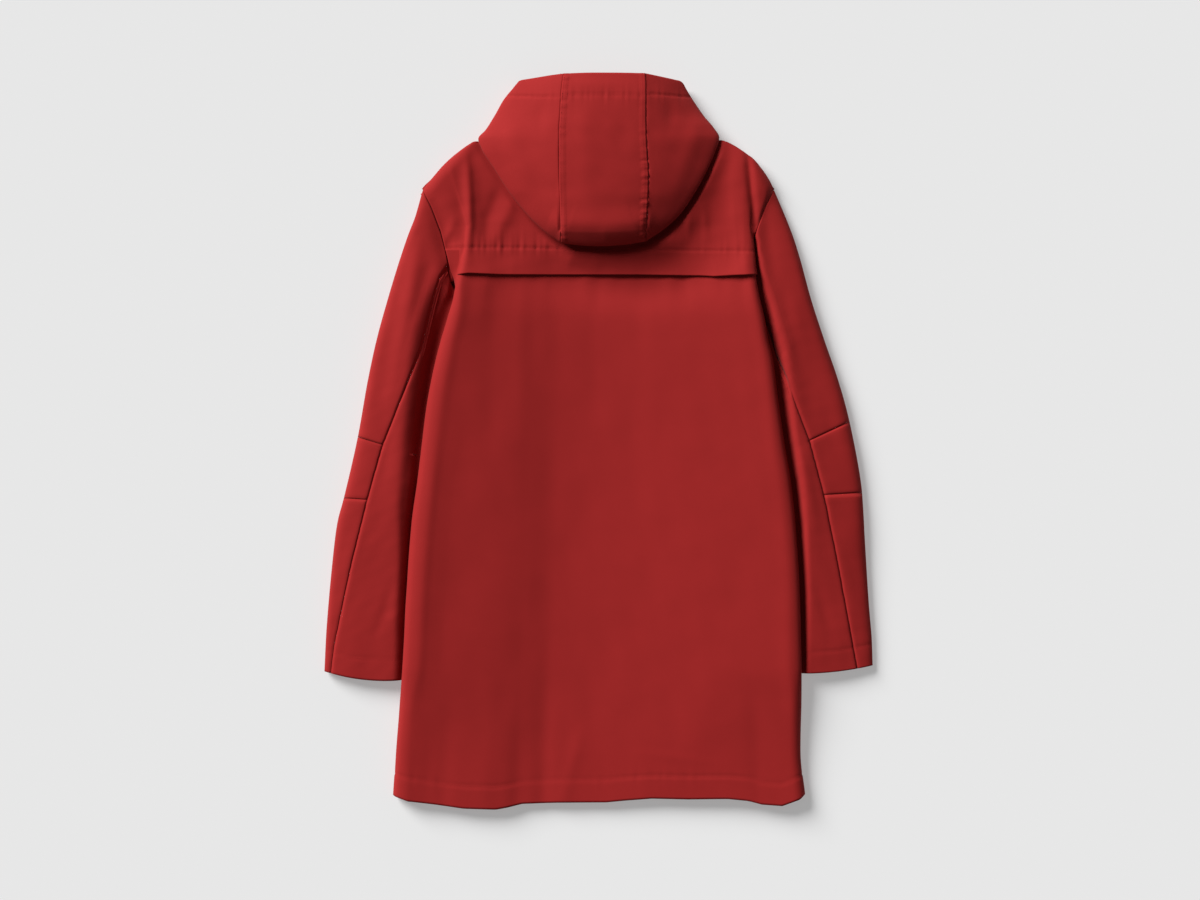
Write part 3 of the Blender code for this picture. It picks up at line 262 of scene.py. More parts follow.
HOOD_RIGHT = table("seam_x seam_y seam_z edge_x edge_y edge_z end_x end_y", [
    (59.5, 468.6, 35.0, 109.8, 454.3, 12.5, 0.5, 360.0),
    (60.0, 455.0, 39.0, 116.5, 442.5, 13.0, 0.5, 353.0),
    (60.2, 437.0, 43.0, 124.0, 431.0, 13.5, 0.5, 346.0),
    (60.2, 415.0, 46.5, 135.0, 415.0, 14.5, 0.5, 339.0),
    (60.2, 397.0, 49.0, 147.0, 400.5, 16.5, 0.5, 332.0),
    (61.0, 380.0, 50.5, 154.0, 387.5, 19.0, 0.5, 325.15),
    (62.0, 362.0, 51.0, 149.2, 370.5, 22.0, 61.0, 352.0),
    (63.5, 340.0, 51.5, 134.5, 338.0, 26.0, 62.0, 333.0),
    (63.0, 317.0, 51.5, 119.7, 311.9, 28.0, 62.0, 312.0),
    (62.0, 299.0, 50.0, 103.0, 288.5, 29.0, 61.5, 293.0),
    (61.3, 282.0, 47.5, 82.0, 269.5, 30.0, 61.0, 280.0),
    (60.3, 270.0, 44.0, 60.4, 255.0, 30.0, 60.3, 269.0),
])
HOODS = (HOOD_LEFT, HOOD_RIGHT)
NECK_ROW = 5  # the hood's row that reaches the end of the shoulder
FOLD_FULLNESS = 0.55  # lower for a rounder fold at the hood's lower end
HOOD_CROWN = 3.5  # how far the centre panel swells between its seams
CORNER_RISE = table("share y", [  # how far the opening's line rises towards its corners
    (0, 0), (.29, 1.6), (.6, 3), (.88, 4.3), (.96, 3), (1, 0)])
FRONT_NECK = table("x y", [
    (154.5, 385.2), (141, 377), (125, 367), (95, 350.5), (60, 336), (36, 329), (21, 326), (0, 326),
])

# %% [markdown]
# ## Curves, outlines and grids
#
# The curve through a table's rows must not overshoot, or a flat panel would grow waves that
# nobody drew. A monotone cubic does this: its slope is zero wherever the values turn. The other
# helpers measure distances to outlines as seen from above, which is how a fold knows where it
# begins.

# %% Curves and grids
def smooth(t):
    """0 below 0, 1 above 1, and an even S between."""
    t = np.clip(t, 0, 1)
    return t * t * (3 - 2 * t)


def mix(a, b, t):
    """From a to b by the share t."""
    return a + (b - a) * t


def curve(at, knots, values):
    """A smooth curve through the values at the knots that never goes past them."""
    knots, values = np.asarray(knots, float), np.asarray(values, float)
    if knots[0] > knots[-1]:
        knots, values = knots[::-1], values[::-1]
    wide = (-1,) + (1,) * (values.ndim - 1)
    step = np.diff(knots).reshape(wide)
    slope = np.diff(values, axis=0) / step
    before, after = slope[:-1], slope[1:]
    near, far = 2 * step[1:] + step[:-1], step[1:] + 2 * step[:-1]
    same = before * after > 0
    share = near / np.where(same, before, 1) + far / np.where(same, after, 1)
    tangent = np.zeros_like(values)
    tangent[1:-1] = np.where(same, (near + far) / np.where(same, share, 1), 0)
    tangent[0], tangent[-1] = slope[0], slope[-1]
    at = np.clip(np.atleast_1d(np.asarray(at, float)), knots[0], knots[-1])
    k = np.clip(np.searchsorted(knots, at, side="right") - 1, 0, len(knots) - 2)
    h = step[k]
    t = ((at - knots[k]).reshape(wide)) / h
    return (
        values[k] * (2 * t**3 - 3 * t**2 + 1) + values[k + 1] * (3 * t**2 - 2 * t**3)
        + tangent[k] * h * (t**3 - 2 * t**2 + t) + tangent[k + 1] * h * (t**3 - t**2)
    )


def to_lines(points, line):
    """How far each point is from a line of straight pieces, seen from above."""
    points = points[..., None, :2]
    a, b = line[:-1], line[1:]
    along = ((points - a) * (b - a)).sum(-1) / ((b - a) ** 2).sum(-1)
    nearest = a + np.clip(along, 0, 1)[..., None] * (b - a)
    return np.linalg.norm(points - nearest, axis=-1).min(-1)


def inside(points, line):
    """Whether each point is inside a closed line, seen from above."""
    x, y = points[..., None, 0], points[..., None, 1]
    a, b = line, np.roll(line, -1, axis=0)
    crosses = (a[:, 1] > y) != (b[:, 1] > y)
    run = np.where(b[:, 1] == a[:, 1], 1, b[:, 1] - a[:, 1])
    at = a[:, 0] + (y - a[:, 1]) * (b[:, 0] - a[:, 0]) / run
    return (crosses & (x < at)).sum(-1) % 2 == 1


def unit(v):
    """Vectors of length 1."""
    return v / np.maximum(np.linalg.norm(v, axis=-1, keepdims=True), 1e-9)


def bell(distance, width):
    """1 on a line, fading to nothing a little over twice this width away."""
    return np.exp(-((distance / width) ** 2))


def lengths_along(line):
    """Distance of each point of a line from its start, along the line."""
    return np.concatenate([[0], np.cumsum(np.linalg.norm(np.diff(line, axis=0), axis=-1))])


def quads(index):
    """Faces of a grid of point numbers."""
    a, b, c, d = index[:-1, :-1], index[:-1, 1:], index[1:, 1:], index[1:, :-1]
    return np.stack([a, b, c, d], -1).reshape(-1, 4)

# %% Outlines seen from above
SHOULDERS = [xy(BACK_TOP)[:8], xy(BACK_TOP)[15:]]
HOOD_EDGES = [np.stack([hood["edge_x"], hood["edge_y"]], -1) for hood in HOODS]
HOOD_FOLD = [(-21.2, 249.2), (5.1, 248.1), (33.8, 249.2)]  # its lowest points, between the seams
HOOD_OUTLINE = np.concatenate([HOOD_EDGES[0], HOOD_FOLD, HOOD_EDGES[1][::-1]])
TABLE_EDGES = [
    np.concatenate([SHOULDERS[0], HOOD_EDGES[0][NECK_ROW::-1]]),
    np.concatenate([SHOULDERS[1][::-1], HOOD_EDGES[1][NECK_ROW::-1]]),
]


def edge_height(x):
    """Height of the edge along the shoulders and the hood's sides."""
    return np.interp(np.abs(x), EDGE_HEIGHT["x"], EDGE_HEIGHT["z"])


def rounding(distance, width):
    """A quarter circle: 0 at an edge and 1 from this width on."""
    t = 1 - np.clip(distance / width, 0, 1)
    return np.sqrt(1 - t * t)


def table_roll(points, right):
    """Height of the under side, which rises from the table to the edge."""
    distance = to_lines(points, TABLE_EDGES[right])
    return edge_height(points[..., 0]) * (1 - rounding(distance, ROLL))

# %% [markdown]
# ## Sleeves as flattened tubes
#
# Each row of a sleeve is a closed ring: up over the outer edge, down to where the body's fold
# lies on it, on to the inner edge, and back along the table. The rings are drawn densely and then
# read at the places where seams and columns are wanted.

# %% Rings of a sleeve
RING_AT = np.array([0, .06, .14, .30, .45, .58, .68, .80, .92, 1, 1.08, 1.3, 1.5, 1.7, 1.88, 1.96])
RING_SAMPLES = 960


def sleeve_plan(right, rows, share, over=1):
    """Points (row, share across) of a sleeve seen from above; share is one array for each row.
    over is 1 on the top, where the armhole is bowed, and 0 beneath, where it is straight."""
    sleeve = SLEEVES[right]
    number = np.arange(len(sleeve["crest"]))
    ends = curve(rows, number, np.stack(
        [sleeve["outer_x"], sleeve["outer_y"], sleeve["inner_x"], sleeve["inner_y"]], -1))
    point = mix(ends[:, None, :2], ends[:, None, 2:], share[..., None])
    out = OUT[right]
    armhole = np.interp(share, ARMHOLE_BOW["share"], ARMHOLE_BOW["x"])
    near_armhole = smooth(1 - rows / 3)[:, None]
    point[..., 0] -= out * armhole * near_armhole * over
    near_cuff = smooth((rows - number[-2]) / 1.0)[:, None]
    point[..., 1] += CUFF_BOW[right] * 4 * share * (1 - share) * near_cuff
    return point


def covered_share(right, rows):
    """The share across each row at which the body's fold begins to cover the sleeve."""
    back = BACKS[right]
    share = np.broadcast_to(np.linspace(0, 1, 400), (len(rows), 400))
    point = sleeve_plan(right, rows, share)
    edge = at_height(point[..., 1], back, "edge")
    under = (np.abs(point[..., 0]) < edge) & (point[..., 1] < SECTION_TOP)
    first = under.argmax(1)
    return share[0][first]


def sleeve_rings(right, rows):
    """Dense points round each row: over the top from the outer edge, and back along the table."""
    sleeve = SLEEVES[right]
    number = np.arange(len(sleeve["crest"]))
    crest, tuck = curve(rows, number, np.stack([sleeve["crest"], sleeve["tuck"]], -1)).T
    width = np.linalg.norm(
        sleeve_plan(right, rows, np.zeros((len(rows), 1)))
        - sleeve_plan(right, rows, np.ones((len(rows), 1))), axis=-1)[:, 0]
    cover = covered_share(right, rows)
    at_edge = np.full_like(crest, COVERED)
    top = np.minimum(0.28, cover * 0.5)
    zero = np.zeros_like(crest)
    under = TUCKED + zero
    fall = np.interp(rows, FALL["row"], FALL[SIDES[right]])
    rise = TOP_RISE[right]
    bend = FALL_BEND[right]
    knots = [  # share across, height
        (zero, rise[0] * crest), (2.5 / width, rise[1] * crest), (9 / width, rise[2] * crest),
        (top, rise[3] * crest), (cover - fall / width, mix(at_edge, crest, rise[4])),
        (cover - bend[0] * fall / width, mix(at_edge, crest, bend[1])),
        (cover + UNDER_FROM[right] / width, under),
        ((cover + 7 / width + 1) / 2, mix(tuck, under, 0.15)),
        (1 - 5 / width, tuck), (1 + zero, tuck / 2), (1 - 5 / width, zero), (0.75 + zero, zero),
        (0.5 + zero, zero), (0.25 + zero, zero), (10 / width, zero), (2.5 / width, 0.12 * crest),
    ]
    knots = np.stack([np.stack(pair, -1) for pair in knots])
    turns = np.concatenate([RING_AT[-3:] - 2, RING_AT, RING_AT[:3] + 2])
    knots = np.concatenate([knots[-3:], knots, knots[:3]])
    ring = curve(np.linspace(0, 2, RING_SAMPLES), turns, knots).transpose(1, 0, 2)
    over = np.arange(RING_SAMPLES) < RING_SAMPLES // 2
    plan = sleeve_plan(right, rows, ring[..., 0], over)
    return np.concatenate([plan, ring[..., 1:]], -1)


def seam_line(right, y, over=1):
    """How far out the back's side edge is, or the front's: the armhole, and then the side seam."""
    armhole = sleeve_plan(right, np.array([0.0]), np.linspace(0, 1, 200)[None], over)[0]
    side = at_height(y, SIDE_SEAM, SIDES[right])
    at_armhole = np.interp(y, armhole[::-1, 1], np.abs(armhole[::-1, 0]))
    return np.where(y >= UNDERARM, at_armhole, side)


def armhole_height(right, x, y):
    """Height of a sleeve's top along its armhole, at points near that line."""
    ring = sleeve_rings(right, np.array([0.0]))[0]
    over = ring[: RING_SAMPLES // 2]
    near = np.hypot(x[..., None] - over[:, 0], y[..., None] - over[:, 1]).argmin(-1)
    return over[near, 2]

# %% Reading the rings at the seams
FRONT_SEAM = 0.16  # share across of the sleeve's seam that lies on the table


def sleeve_grid(right, rows, strip_top, strip_under, inner_top, inner_under):
    """Outer points (row, place round the sleeve, 3), and how many places the outer strip has."""
    seam = BACK_SEAMS[right]
    half = RING_SAMPLES // 2
    grid = []
    for ring in sleeve_rings(right, rows):
        length = lengths_along(ring)
        back = length[to_lines(ring[:half], seam).argmin()]
        inner = length[half]
        share = np.linalg.norm(ring[:, :2] - ring[0, :2], axis=-1)
        front = length[half + np.abs(share[half:] / share[half] - FRONT_SEAM).argmin()]
        near, far = back + GAP / 2, back - GAP / 2
        at = np.concatenate([
            far * (1 - np.array(strip_top)),
            length[-1] - np.array(strip_under) * (length[-1] - front - GAP / 2),
            (inner + np.array(inner_under) * (front - GAP / 2 - inner))[::-1],
            (near + np.array(inner_top) * (inner - near))[::-1]])
        grid.append(np.stack([np.interp(at, length, ring[:, axis]) for axis in range(3)], -1))
    return np.array(grid), len(strip_top) + len(strip_under)

# %% [markdown]
# ## The back and the fronts
#
# The back is one surface from the shoulders to the hem that wraps round both side folds. Under
# the hood it is pressed flat, and it rises again over a hand's breadth beside it.

# %% The back's surface
SIDE_COLUMNS = 8


def side_controls(right, y):
    """The eight control points of a side, from its seam in to the fold's foot: (8, row, 3)."""
    back = BACKS[right]
    out = OUT[right]
    edge, edge_z, ridge, ridge_z, foot, foot_z = curve(y, back["y"], np.stack(
        [back[c] for c in "edge edge_z ridge ridge_z foot foot_z".split()], -1)).T
    seam = seam_line(right, y)
    low = at_height(y, OVER_SLEEVES, "z")
    hidden = smooth((edge - seam + 1) / 6)
    on_sleeve = armhole_height(right, out * seam, y) + hidden
    seam_z = np.where(y > UNDERARM, on_sleeve, low)
    low = np.where(y > 90, TUCKED + 1, low)
    wide = np.clip((edge - seam) / 6, 0, 1)
    over = np.maximum(edge - seam, 0)
    flat = np.minimum(12 + 0.35 * np.maximum(over - 20, 0), 0.6 * over)
    columns = [
        (seam, seam_z),
        (mix(mix(seam, edge, 0.33), edge - flat, wide),
         mix(mix(seam_z, edge_z, 0.33), low, wide)),
        (mix(mix(seam, edge, 0.67), edge - np.minimum(3.5, 0.3 * over), wide),
         mix(mix(seam_z, edge_z, 0.67), low + 0.27 * (edge_z - low), wide)),
        (edge, edge_z),
        (mix(edge, ridge, 0.3), mix(edge_z, ridge_z, 0.72)),
        (ridge, ridge_z),
        (mix(ridge, foot, 0.45), mix(ridge_z, foot_z, 0.5)),
        (foot, foot_z),
    ]
    return np.stack([np.stack([out * x, y, z], -1) for x, z in columns])


def back_controls(rows):
    """Control points of the back: a row below SECTION_TOP is a section at that y, and rows from
    SECTION_TOP to SECTION_TOP + 1 go up to the shoulders and the neck."""
    y = np.minimum(rows, SECTION_TOP)
    left, right = side_controls(0, y), side_controls(1, y)[::-1]
    down = np.clip((SECTION_TOP - y) / (SECTION_TOP - HEM), 0, 1)
    x = mix(FOLDS["x_yoke"][:, None], FOLDS["x_hem"][:, None], down)
    heights = np.stack([FOLDS["at_" + str(abs(at))] for at in FOLD_HEIGHTS_AT])
    z = curve(y, FOLD_HEIGHTS_AT, heights).T
    middle = np.stack([x, np.broadcast_to(y, x.shape), z], -1)
    points = np.concatenate([left, middle, right])
    up = np.clip(rows - SECTION_TOP, 0, 1)
    top = np.stack([BACK_TOP["x"], BACK_TOP["y"]], -1)
    raised = up > 0
    points[..., :2] = mix(points[..., :2], top[:, None], up[:, None])
    for right_side, seam in ((0, 0), (1, -1)):
        at = seam_line(right_side, points[seam, :, 1])
        points[seam, :, 0] = np.where(raised, OUT[right_side] * at, points[seam, :, 0])
    inner = mix(points[..., 2], BACK_TOP["z"][:, None], up)
    for right_side, line in enumerate(SHOULDERS):
        here = slice(0, SIDE_COLUMNS) if right_side == 0 else slice(-SIDE_COLUMNS, None)
        distance = to_lines(points[here], line)
        edge = edge_height(points[here, :, 0])
        rolled = mix(edge, inner[here], rounding(distance, SHOULDER_ROLL))
        inner[here] = np.where(raised, rolled, inner[here])
        seam = 0 if right_side == 0 else -1
        on_sleeve = armhole_height(right_side, points[seam, :, 0], points[seam, :, 1])
        inner[seam] = np.where(raised, np.maximum(on_sleeve, 9), inner[seam])
    points[..., 2] = inner
    return points


def bend_to_hem(grid, rows, above=0):
    """Moves the lowest rows onto the hem's line, or to this far above it."""
    near_hem = smooth((HEM_FROM - rows) / HEM_REACH)[:, None]
    hem = np.interp(grid[..., 0], HEM_LINE["x"], HEM_LINE["y"]) + above
    grid[..., 1] += (hem - HEM) * near_hem


def back_surface(columns, rows):
    """Outer points of the back, as (row, column, 3)."""
    controls = back_controls(rows)
    grid = curve(columns, np.arange(len(controls)), controls).transpose(1, 0, 2)
    free = np.where(inside(grid, HOOD_OUTLINE), 0, to_lines(grid, HOOD_OUTLINE))
    z = grid[..., 2]
    above = (z > PRESSED) & (rows[:, None] > 120)
    grid[..., 2] = np.where(above, mix(PRESSED, z, smooth(free / 32)), z)
    bend_to_hem(grid, rows)
    return grid

# %% The fronts' grid
FRONT_RISE = np.array([1, .98, .95, .9, .8, .6, .35])
FRONT_ROWS = np.array([
    275, 240, 205, 170, 145, 131, 125, 119, 112, 104, 94, 82, 50, 10, -35, -80, -130, -180, -230,
    -275, -300, -309, -318, -327, -337, -365, -390, -415, -440, HEM], float)


def front_grid(right):
    """Outer points of a front panel, (row, column, 3)."""
    out = OUT[right]
    sleeve_side = SLEEVES[right]
    rows = np.concatenate([SECTION_TOP + FRONT_RISE, FRONT_ROWS])
    y = np.minimum(rows, SECTION_TOP)
    seam = seam_line(right, y, 0) - GAP - 0.7 * bell(y - UNDERARM, 7)
    sleeve_y = sleeve_side["inner_y"][::-1]
    inner = np.interp(y, sleeve_y, np.abs(sleeve_side["inner_x"][::-1]))
    ramp = np.where(y > UNDERARM, seam - 2, inner)
    x = np.stack([
        -LAP + 0 * y, LAP + 1 + 0 * y, LAP + 16 + 0 * y, 60 + 0 * y, 95 + 0 * y,
        ramp - 27, ramp - 20, ramp - 13, ramp - 5, seam], -1)
    top_x = [-LAP, LAP + 1, LAP + 16, 60, 95, 125, 141, 156, 191, 223.7]
    neck = xy(FRONT_NECK)[::-1]
    shoulder = np.abs(SHOULDERS[right])
    line = np.concatenate([neck, shoulder if right else shoulder[::-1]])
    top_y = np.interp(np.abs(top_x), line[:, 0], line[:, 1])
    up = np.clip(rows - SECTION_TOP, 0, 1)[:, None]
    grid = np.stack([mix(x, np.array(top_x), up) * out, mix(y[:, None] + 0 * x, top_y, up),
                     0 * x], -1)
    at_armhole = out * (seam_line(right, grid[:, -1, 1], 0) - GAP)
    grid[:, -1, 0] = np.where(up[:, 0] > 0, at_armhole, grid[:, -1, 0])
    low = at_height(y, OVER_SLEEVES, "z")[:, None]
    z = low * smooth((np.abs(grid[..., 0]) - (ramp[:, None] - 26)) / 20)
    z = z + np.where(up > 0, table_roll(grid, right), 0)
    if right:
        z = z + LAYER * (1 - smooth((grid[..., 0] * out - LAP - 1) / 15))
    grid[..., 2] = z
    bend_to_hem(grid, rows, 2)
    grid[0, :, 1] -= GAP / 2
    grid[0, 7:, 2] -= 3 * GAP
    grid[:2, -1, 2] -= 4 * GAP
    return grid

# %% [markdown]
# ## The hood's sections
#
# A side panel runs from the seam with the centre panel out to the edge, and then turns under. In
# front of the neck it turns onto the table, and behind it onto the back.

# %% The hood's grids
HOOD_ROWS = np.array([0, .5, 1, 1.5, 2, 3, 4, 5, 6, 7, 8, 9, 9.6, 10.2, 10.7, 11])
TOP_SHARE = (0, .2, .4, .6, .76, .88, .96, .99, 1)
TOP_FALL = (0, .14, .3, .47, .625, .755, .87, .945, 1)  # how far it has come down at each share
UNDER_IN = (1.2, 4.5, ROLL)  # distances in from the edge, beneath
NECK_X = (125, 95, 60, 36, 21, 0.5)  # points of the neck seam, in from its side
NECK_SIDE = (141.0, 377.0)  # where the neck seam begins, beside the shoulder
NECK_BACK = 367.7  # how far up the back the neck seam lies


def hood_grids(right):
    """Outer points of a side panel: its top, its under side on the table and that on the back."""
    out = OUT[right]
    hood = HOODS[right]
    number = np.arange(len(hood["seam_x"]))
    row = curve(HOOD_ROWS, number, np.stack([hood[c] for c in (
        "seam_x seam_y seam_z edge_x edge_y edge_z".split())], -1))
    seam, edge = row[:, :3].copy(), row[:, 3:]
    seam[:-1, 0] += out * GAP / 2
    edge = edge.copy()
    edge[-1, 0] += out * GAP
    last = len(HOOD_ROWS) - 1
    neck = int(np.flatnonzero(HOOD_ROWS == NECK_ROW)[0])
    top = []
    for share, fall in zip(TOP_SHARE, TOP_FALL):
        top.append(np.column_stack([
            mix(seam[:, :2], edge[:, :2], share), mix(seam[:, 2], edge[:, 2], fall)]))
    top = np.stack(top, 1)
    corner = np.interp(TOP_SHARE, CORNER_RISE["share"], CORNER_RISE["y"])
    top[..., 1] += corner * (1 - smooth(HOOD_ROWS / 1.5))[:, None]
    roll = np.linspace(0, np.pi / 2, len(TOP_SHARE))
    top[last] = np.column_stack([  # the last row goes round the fold
        np.full(len(roll), seam[last, 0]) + out * GAP / 2,
        mix(seam[last, 1], edge[last, 1], np.sin(roll)),
        mix(edge[last, 2], seam[last, 2], (1 - np.sin(roll)) ** FOLD_FULLNESS)])
    # the under side that lies on the table, in front of the neck
    start = neck + 1
    end = np.column_stack([np.interp(HOOD_ROWS[:start], number, hood["end_x"]),
                           np.interp(HOOD_ROWS[:start], number, hood["end_y"])])
    line_y = np.interp(NECK_X, FRONT_NECK["x"][::-1], FRONT_NECK["y"][::-1])
    neck_end = np.array([out * NECK_X[-1], line_y[-1] + GAP / 2])
    roll_end = np.array([out * NECK_SIDE[0], NECK_SIDE[1] + GAP / 2])
    run = unit(end - edge[:start, :2])
    run[-1] = unit(roll_end - edge[neck, :2])
    table_side = []
    for distance in UNDER_IN:
        length = distance * (1.3 if distance == ROLL else 1)
        plan = edge[:start, :2] + run * length
        z = edge[:start, 2] * (1 - rounding(np.float64(distance), ROLL))
        table_side.append(np.column_stack([plan, z]))
    share = (NECK_SIDE[0] - np.array(NECK_X)) / (NECK_SIDE[0] - NECK_X[-1])
    first = table_side[-1][:, :2]
    for t, y_neck in zip(share, line_y):
        straight = mix(roll_end, neck_end, t)
        bow = (y_neck + GAP / 2 - straight[1]) * smooth(HOOD_ROWS[:start] / NECK_ROW)
        plan = mix(first, end, t)
        plan[:, 1] += bow
        plan[-1] = (mix(roll_end[0], neck_end[0], t), y_neck + GAP / 2)
        table_side.append(np.column_stack([plan, np.zeros(start)]))
    table_side = np.stack(table_side, 1)
    # the under side that lies on the back
    rest = HOOD_ROWS[neck:]
    end_row = np.arange(NECK_ROW, len(number))
    end_x = np.interp(rest, end_row, np.r_[hood["end_x"][6], hood["end_x"][6:]])
    end_y = np.interp(rest, end_row, np.r_[NECK_BACK, hood["end_y"][6:]])
    end = np.column_stack([end_x + out * GAP / 2, end_y])
    rim = edge[neck:]
    back_side = []
    lower = HOOD_LOW + 0 * rest
    for share, drop in ((.03, .45), (.12, .12), (.3, 0), (.5, 0), (.75, 0), (1, 0)):
        plan = mix(rim[:, :2], end, share)
        back_side.append(np.column_stack([plan, mix(lower, rim[:, 2], drop)]))
    back_side = np.stack(back_side, 1)
    roll = np.linspace(0, np.pi / 2, 7)[1:]
    back_side[-1] = np.column_stack([
        np.full(6, top[last, 0, 0]), mix(end[-1, 1], rim[-1, 1], np.cos(roll)),
        mix(rim[-1, 2], HOOD_LOW, np.sin(roll))])
    return top, table_side, back_side

# %% [markdown]
# ## Creases laid one by one
#
# A crease is a line on the cloth with a width and a height at each of its points. The height
# fades to nothing at both ends, so that a ridge melts into the panel. Added up, a handful of
# these do more for cloth than noise does, because folds come from somewhere: from a seam, a
# shoulder or the layer below. The noise that is left is long and low, since a stiff cotton shell
# doesn't crumple finely.

# %% Creases and slow waves
def crease_height(points, lines):
    """Height that creases add; each line has rows of x, y, half width and height."""
    total = np.zeros(points.shape[:-1])
    for line in lines:
        line = np.array(line, float)
        a, b = line[:-1], line[1:]
        run = b[:, :2] - a[:, :2]
        away = points[..., None, :2] - a[:, :2]
        share = np.clip((away * run).sum(-1) / (run**2).sum(-1), 0, 1)
        gap = np.linalg.norm(away - share[..., None] * run, axis=-1)
        nearest = gap.argmin(-1)[..., None]
        share = np.take_along_axis(share, nearest, -1)[..., 0]
        gap = np.take_along_axis(gap, nearest, -1)[..., 0]
        nearest = nearest[..., 0]
        width = mix(a[nearest, 2], b[nearest, 2], share)
        height = mix(a[nearest, 3], b[nearest, 3], share)
        total += height * bell(gap, width)
    return total


def waves(points, length, seed, stretch=(1.0, 1.0)):
    """Slow random waves from -1 to 1, of about this length; stretch draws them out along X or Y."""
    random = np.random.default_rng(seed)
    total = np.zeros(points.shape[:-1])
    for _ in range(7):
        angle, phase = random.uniform(0, np.pi), random.uniform(0, 2 * np.pi)
        turn = 2 * np.pi / (length * random.uniform(0.7, 1.5))
        total += np.sin(
            turn * (points[..., 0] / stretch[0] * np.cos(angle)
                    + points[..., 1] / stretch[1] * np.sin(angle)) + phase)
    return total / 4


def slow_waves(points, kinds, more=0):
    """Waves of several kinds: height, length, seed and stretch. More is added to the seeds."""
    return sum(height * waves(points, length, seed + more, stretch)
               for height, length, seed, stretch in kinds)


def puckers(along, away, pitch, reach, seed):
    """Ripples across a stitched line: along it, and how far away from it each point is."""
    random = np.random.default_rng(seed)
    total = np.zeros(np.shape(along))
    for share in (0.72, 1.0, 1.37, 1.9):
        total += np.sin(2 * np.pi * along / (pitch * share) + random.uniform(0, 6.3))
    uneven = 0.55 + 0.45 * np.sin(along / (pitch * 5.3) + random.uniform(0, 6.3))
    return total / 2.2 * uneven * np.exp(-np.abs(away) / reach)


# %% [markdown]
# ## From a grid to a piece of cloth
#
# Every piece is the same recipe: the outer points, the same points moved in by the cloth's
# thickness, and a rim that joins them. Blender's Solidify does the same, but here the inner
# points follow the seams' shared directions, so two panels that meet in a bend keep an even gap.

# %% Making the pieces
UPRIGHT, LYING = 0.05, 0.4  # a normal's z where cloth begins to face up, and how much more it takes
pieces = {}


def grid_faces(shape):
    """Faces of a whole grid with this many rows and columns."""
    return quads(np.arange(shape[0] * shape[1]).reshape(shape))


def facings(points, faces):
    """A vector for each face, square to it and twice as long as its area."""
    corners = points[faces]
    return np.cross(corners[:, 2] - corners[:, 0], corners[:, 3] - corners[:, 1])


def face_normals(points, faces):
    """Unit normals of the points, by the faces round each."""
    facing = facings(points, faces)
    normals = np.zeros_like(points)
    for corner in range(4):
        np.add.at(normals, faces[:, corner], facing)
    return unit(normals)


def top_facing(normals):
    """1 where the cloth faces up and 0 where it has turned under."""
    return smooth((normals[..., 2] - UPRIGHT) / LYING)


def add_object(name, data):
    """A new object in the scene."""
    made = bpy.data.objects.new(name, data)
    bpy.context.scene.collection.objects.link(made)
    return made


def cloth(node, points, faces):
    """One shown piece of cloth, which stands for the CAD node of that name."""
    normals = face_normals(points, faces)
    ends = np.stack([faces, np.roll(faces, -1, axis=1)], -1).reshape(-1, 2)
    count = len(points)
    code = ends[:, 0].astype(np.int64) * count + ends[:, 1]
    back_code = ends[:, 1].astype(np.int64) * count + ends[:, 0]
    open_edges = ends[~np.isin(code, back_code)]
    rim = np.stack([open_edges[:, 1], open_edges[:, 0], open_edges[:, 0] + count,
                    open_edges[:, 1] + count], -1)
    every = np.concatenate([points, points - WALL * normals]) * MM
    shape = np.concatenate([faces, faces[:, ::-1] + count, rim])
    mesh = bpy.data.meshes.new(node + "_cloth")
    mesh.vertices.add(len(every))
    mesh.vertices.foreach_set("co", every.astype(np.float32).ravel())
    mesh.loops.add(shape.size)
    mesh.loops.foreach_set("vertex_index", shape.astype(np.int32).ravel())
    mesh.polygons.add(len(shape))
    mesh.polygons.foreach_set("loop_start", np.arange(0, shape.size, 4, dtype=np.int32))
    mesh.update(calc_edges=True)
    mesh.shade_smooth()
    piece = add_object(node + "_cloth", mesh)
    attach(piece, "root")
    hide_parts(node)
    pieces[node] = {"object": piece, "points": points, "normals": normals}
    return piece


def facing_out(points, faces, probe, up=True):
    """Turns the faces round if the one nearest the probe point faces the wrong way."""
    facing = facings(points, faces)
    at = np.linalg.norm(points[faces].mean(1)[:, :2] - probe, axis=-1)
    size = np.linalg.norm(facing, axis=-1)
    best = np.where((np.abs(facing[:, 2]) > 0.8 * size), at, 1e9).argmin()
    return faces if (facing[best, 2] > 0) == up else faces[:, ::-1]


def at_columns(grid, columns):
    """The same grid read at other columns, which are given as index numbers."""
    return curve(columns, np.arange(grid.shape[1]), grid.transpose(1, 0, 2)).transpose(1, 0, 2)


def steps(values, size, lengths):
    """Places between the given values, so that no step is longer than size."""
    parts = [np.linspace(a, b, max(1, int(np.ceil(length / size))), endpoint=False)
             for a, b, length in zip(values, values[1:], lengths)]
    return np.concatenate(parts + [[values[-1]]])


def area_of(points, faces):
    """Area of a surface, in square metres."""
    return np.linalg.norm(facings(points, faces), axis=-1).sum() / 2 * MM * MM


def section_length(points, faces, x):
    """Length of the line in which a plane at this x cuts a surface."""
    corners = points[faces]
    side = corners[..., 0] - x
    after = np.roll(side, -1, axis=1)
    crossed = (side < 0) != (after < 0)
    share = side / np.where(crossed, side - after, 1)
    cut = corners + (np.roll(corners, -1, axis=1) - corners) * share[..., None]
    twice = crossed.sum(1) == 2
    ends = cut[twice][crossed[twice]].reshape(-1, 2, 3)
    return np.linalg.norm(ends[:, 0] - ends[:, 1], axis=-1).sum()


def grid_cloth(node, grid, faces):
    """A piece of cloth that is one grid."""
    points = grid.reshape(-1, 3)
    area = area_of(points, grid_faces(grid.shape[:2]))
    cloth(node, points, faces)


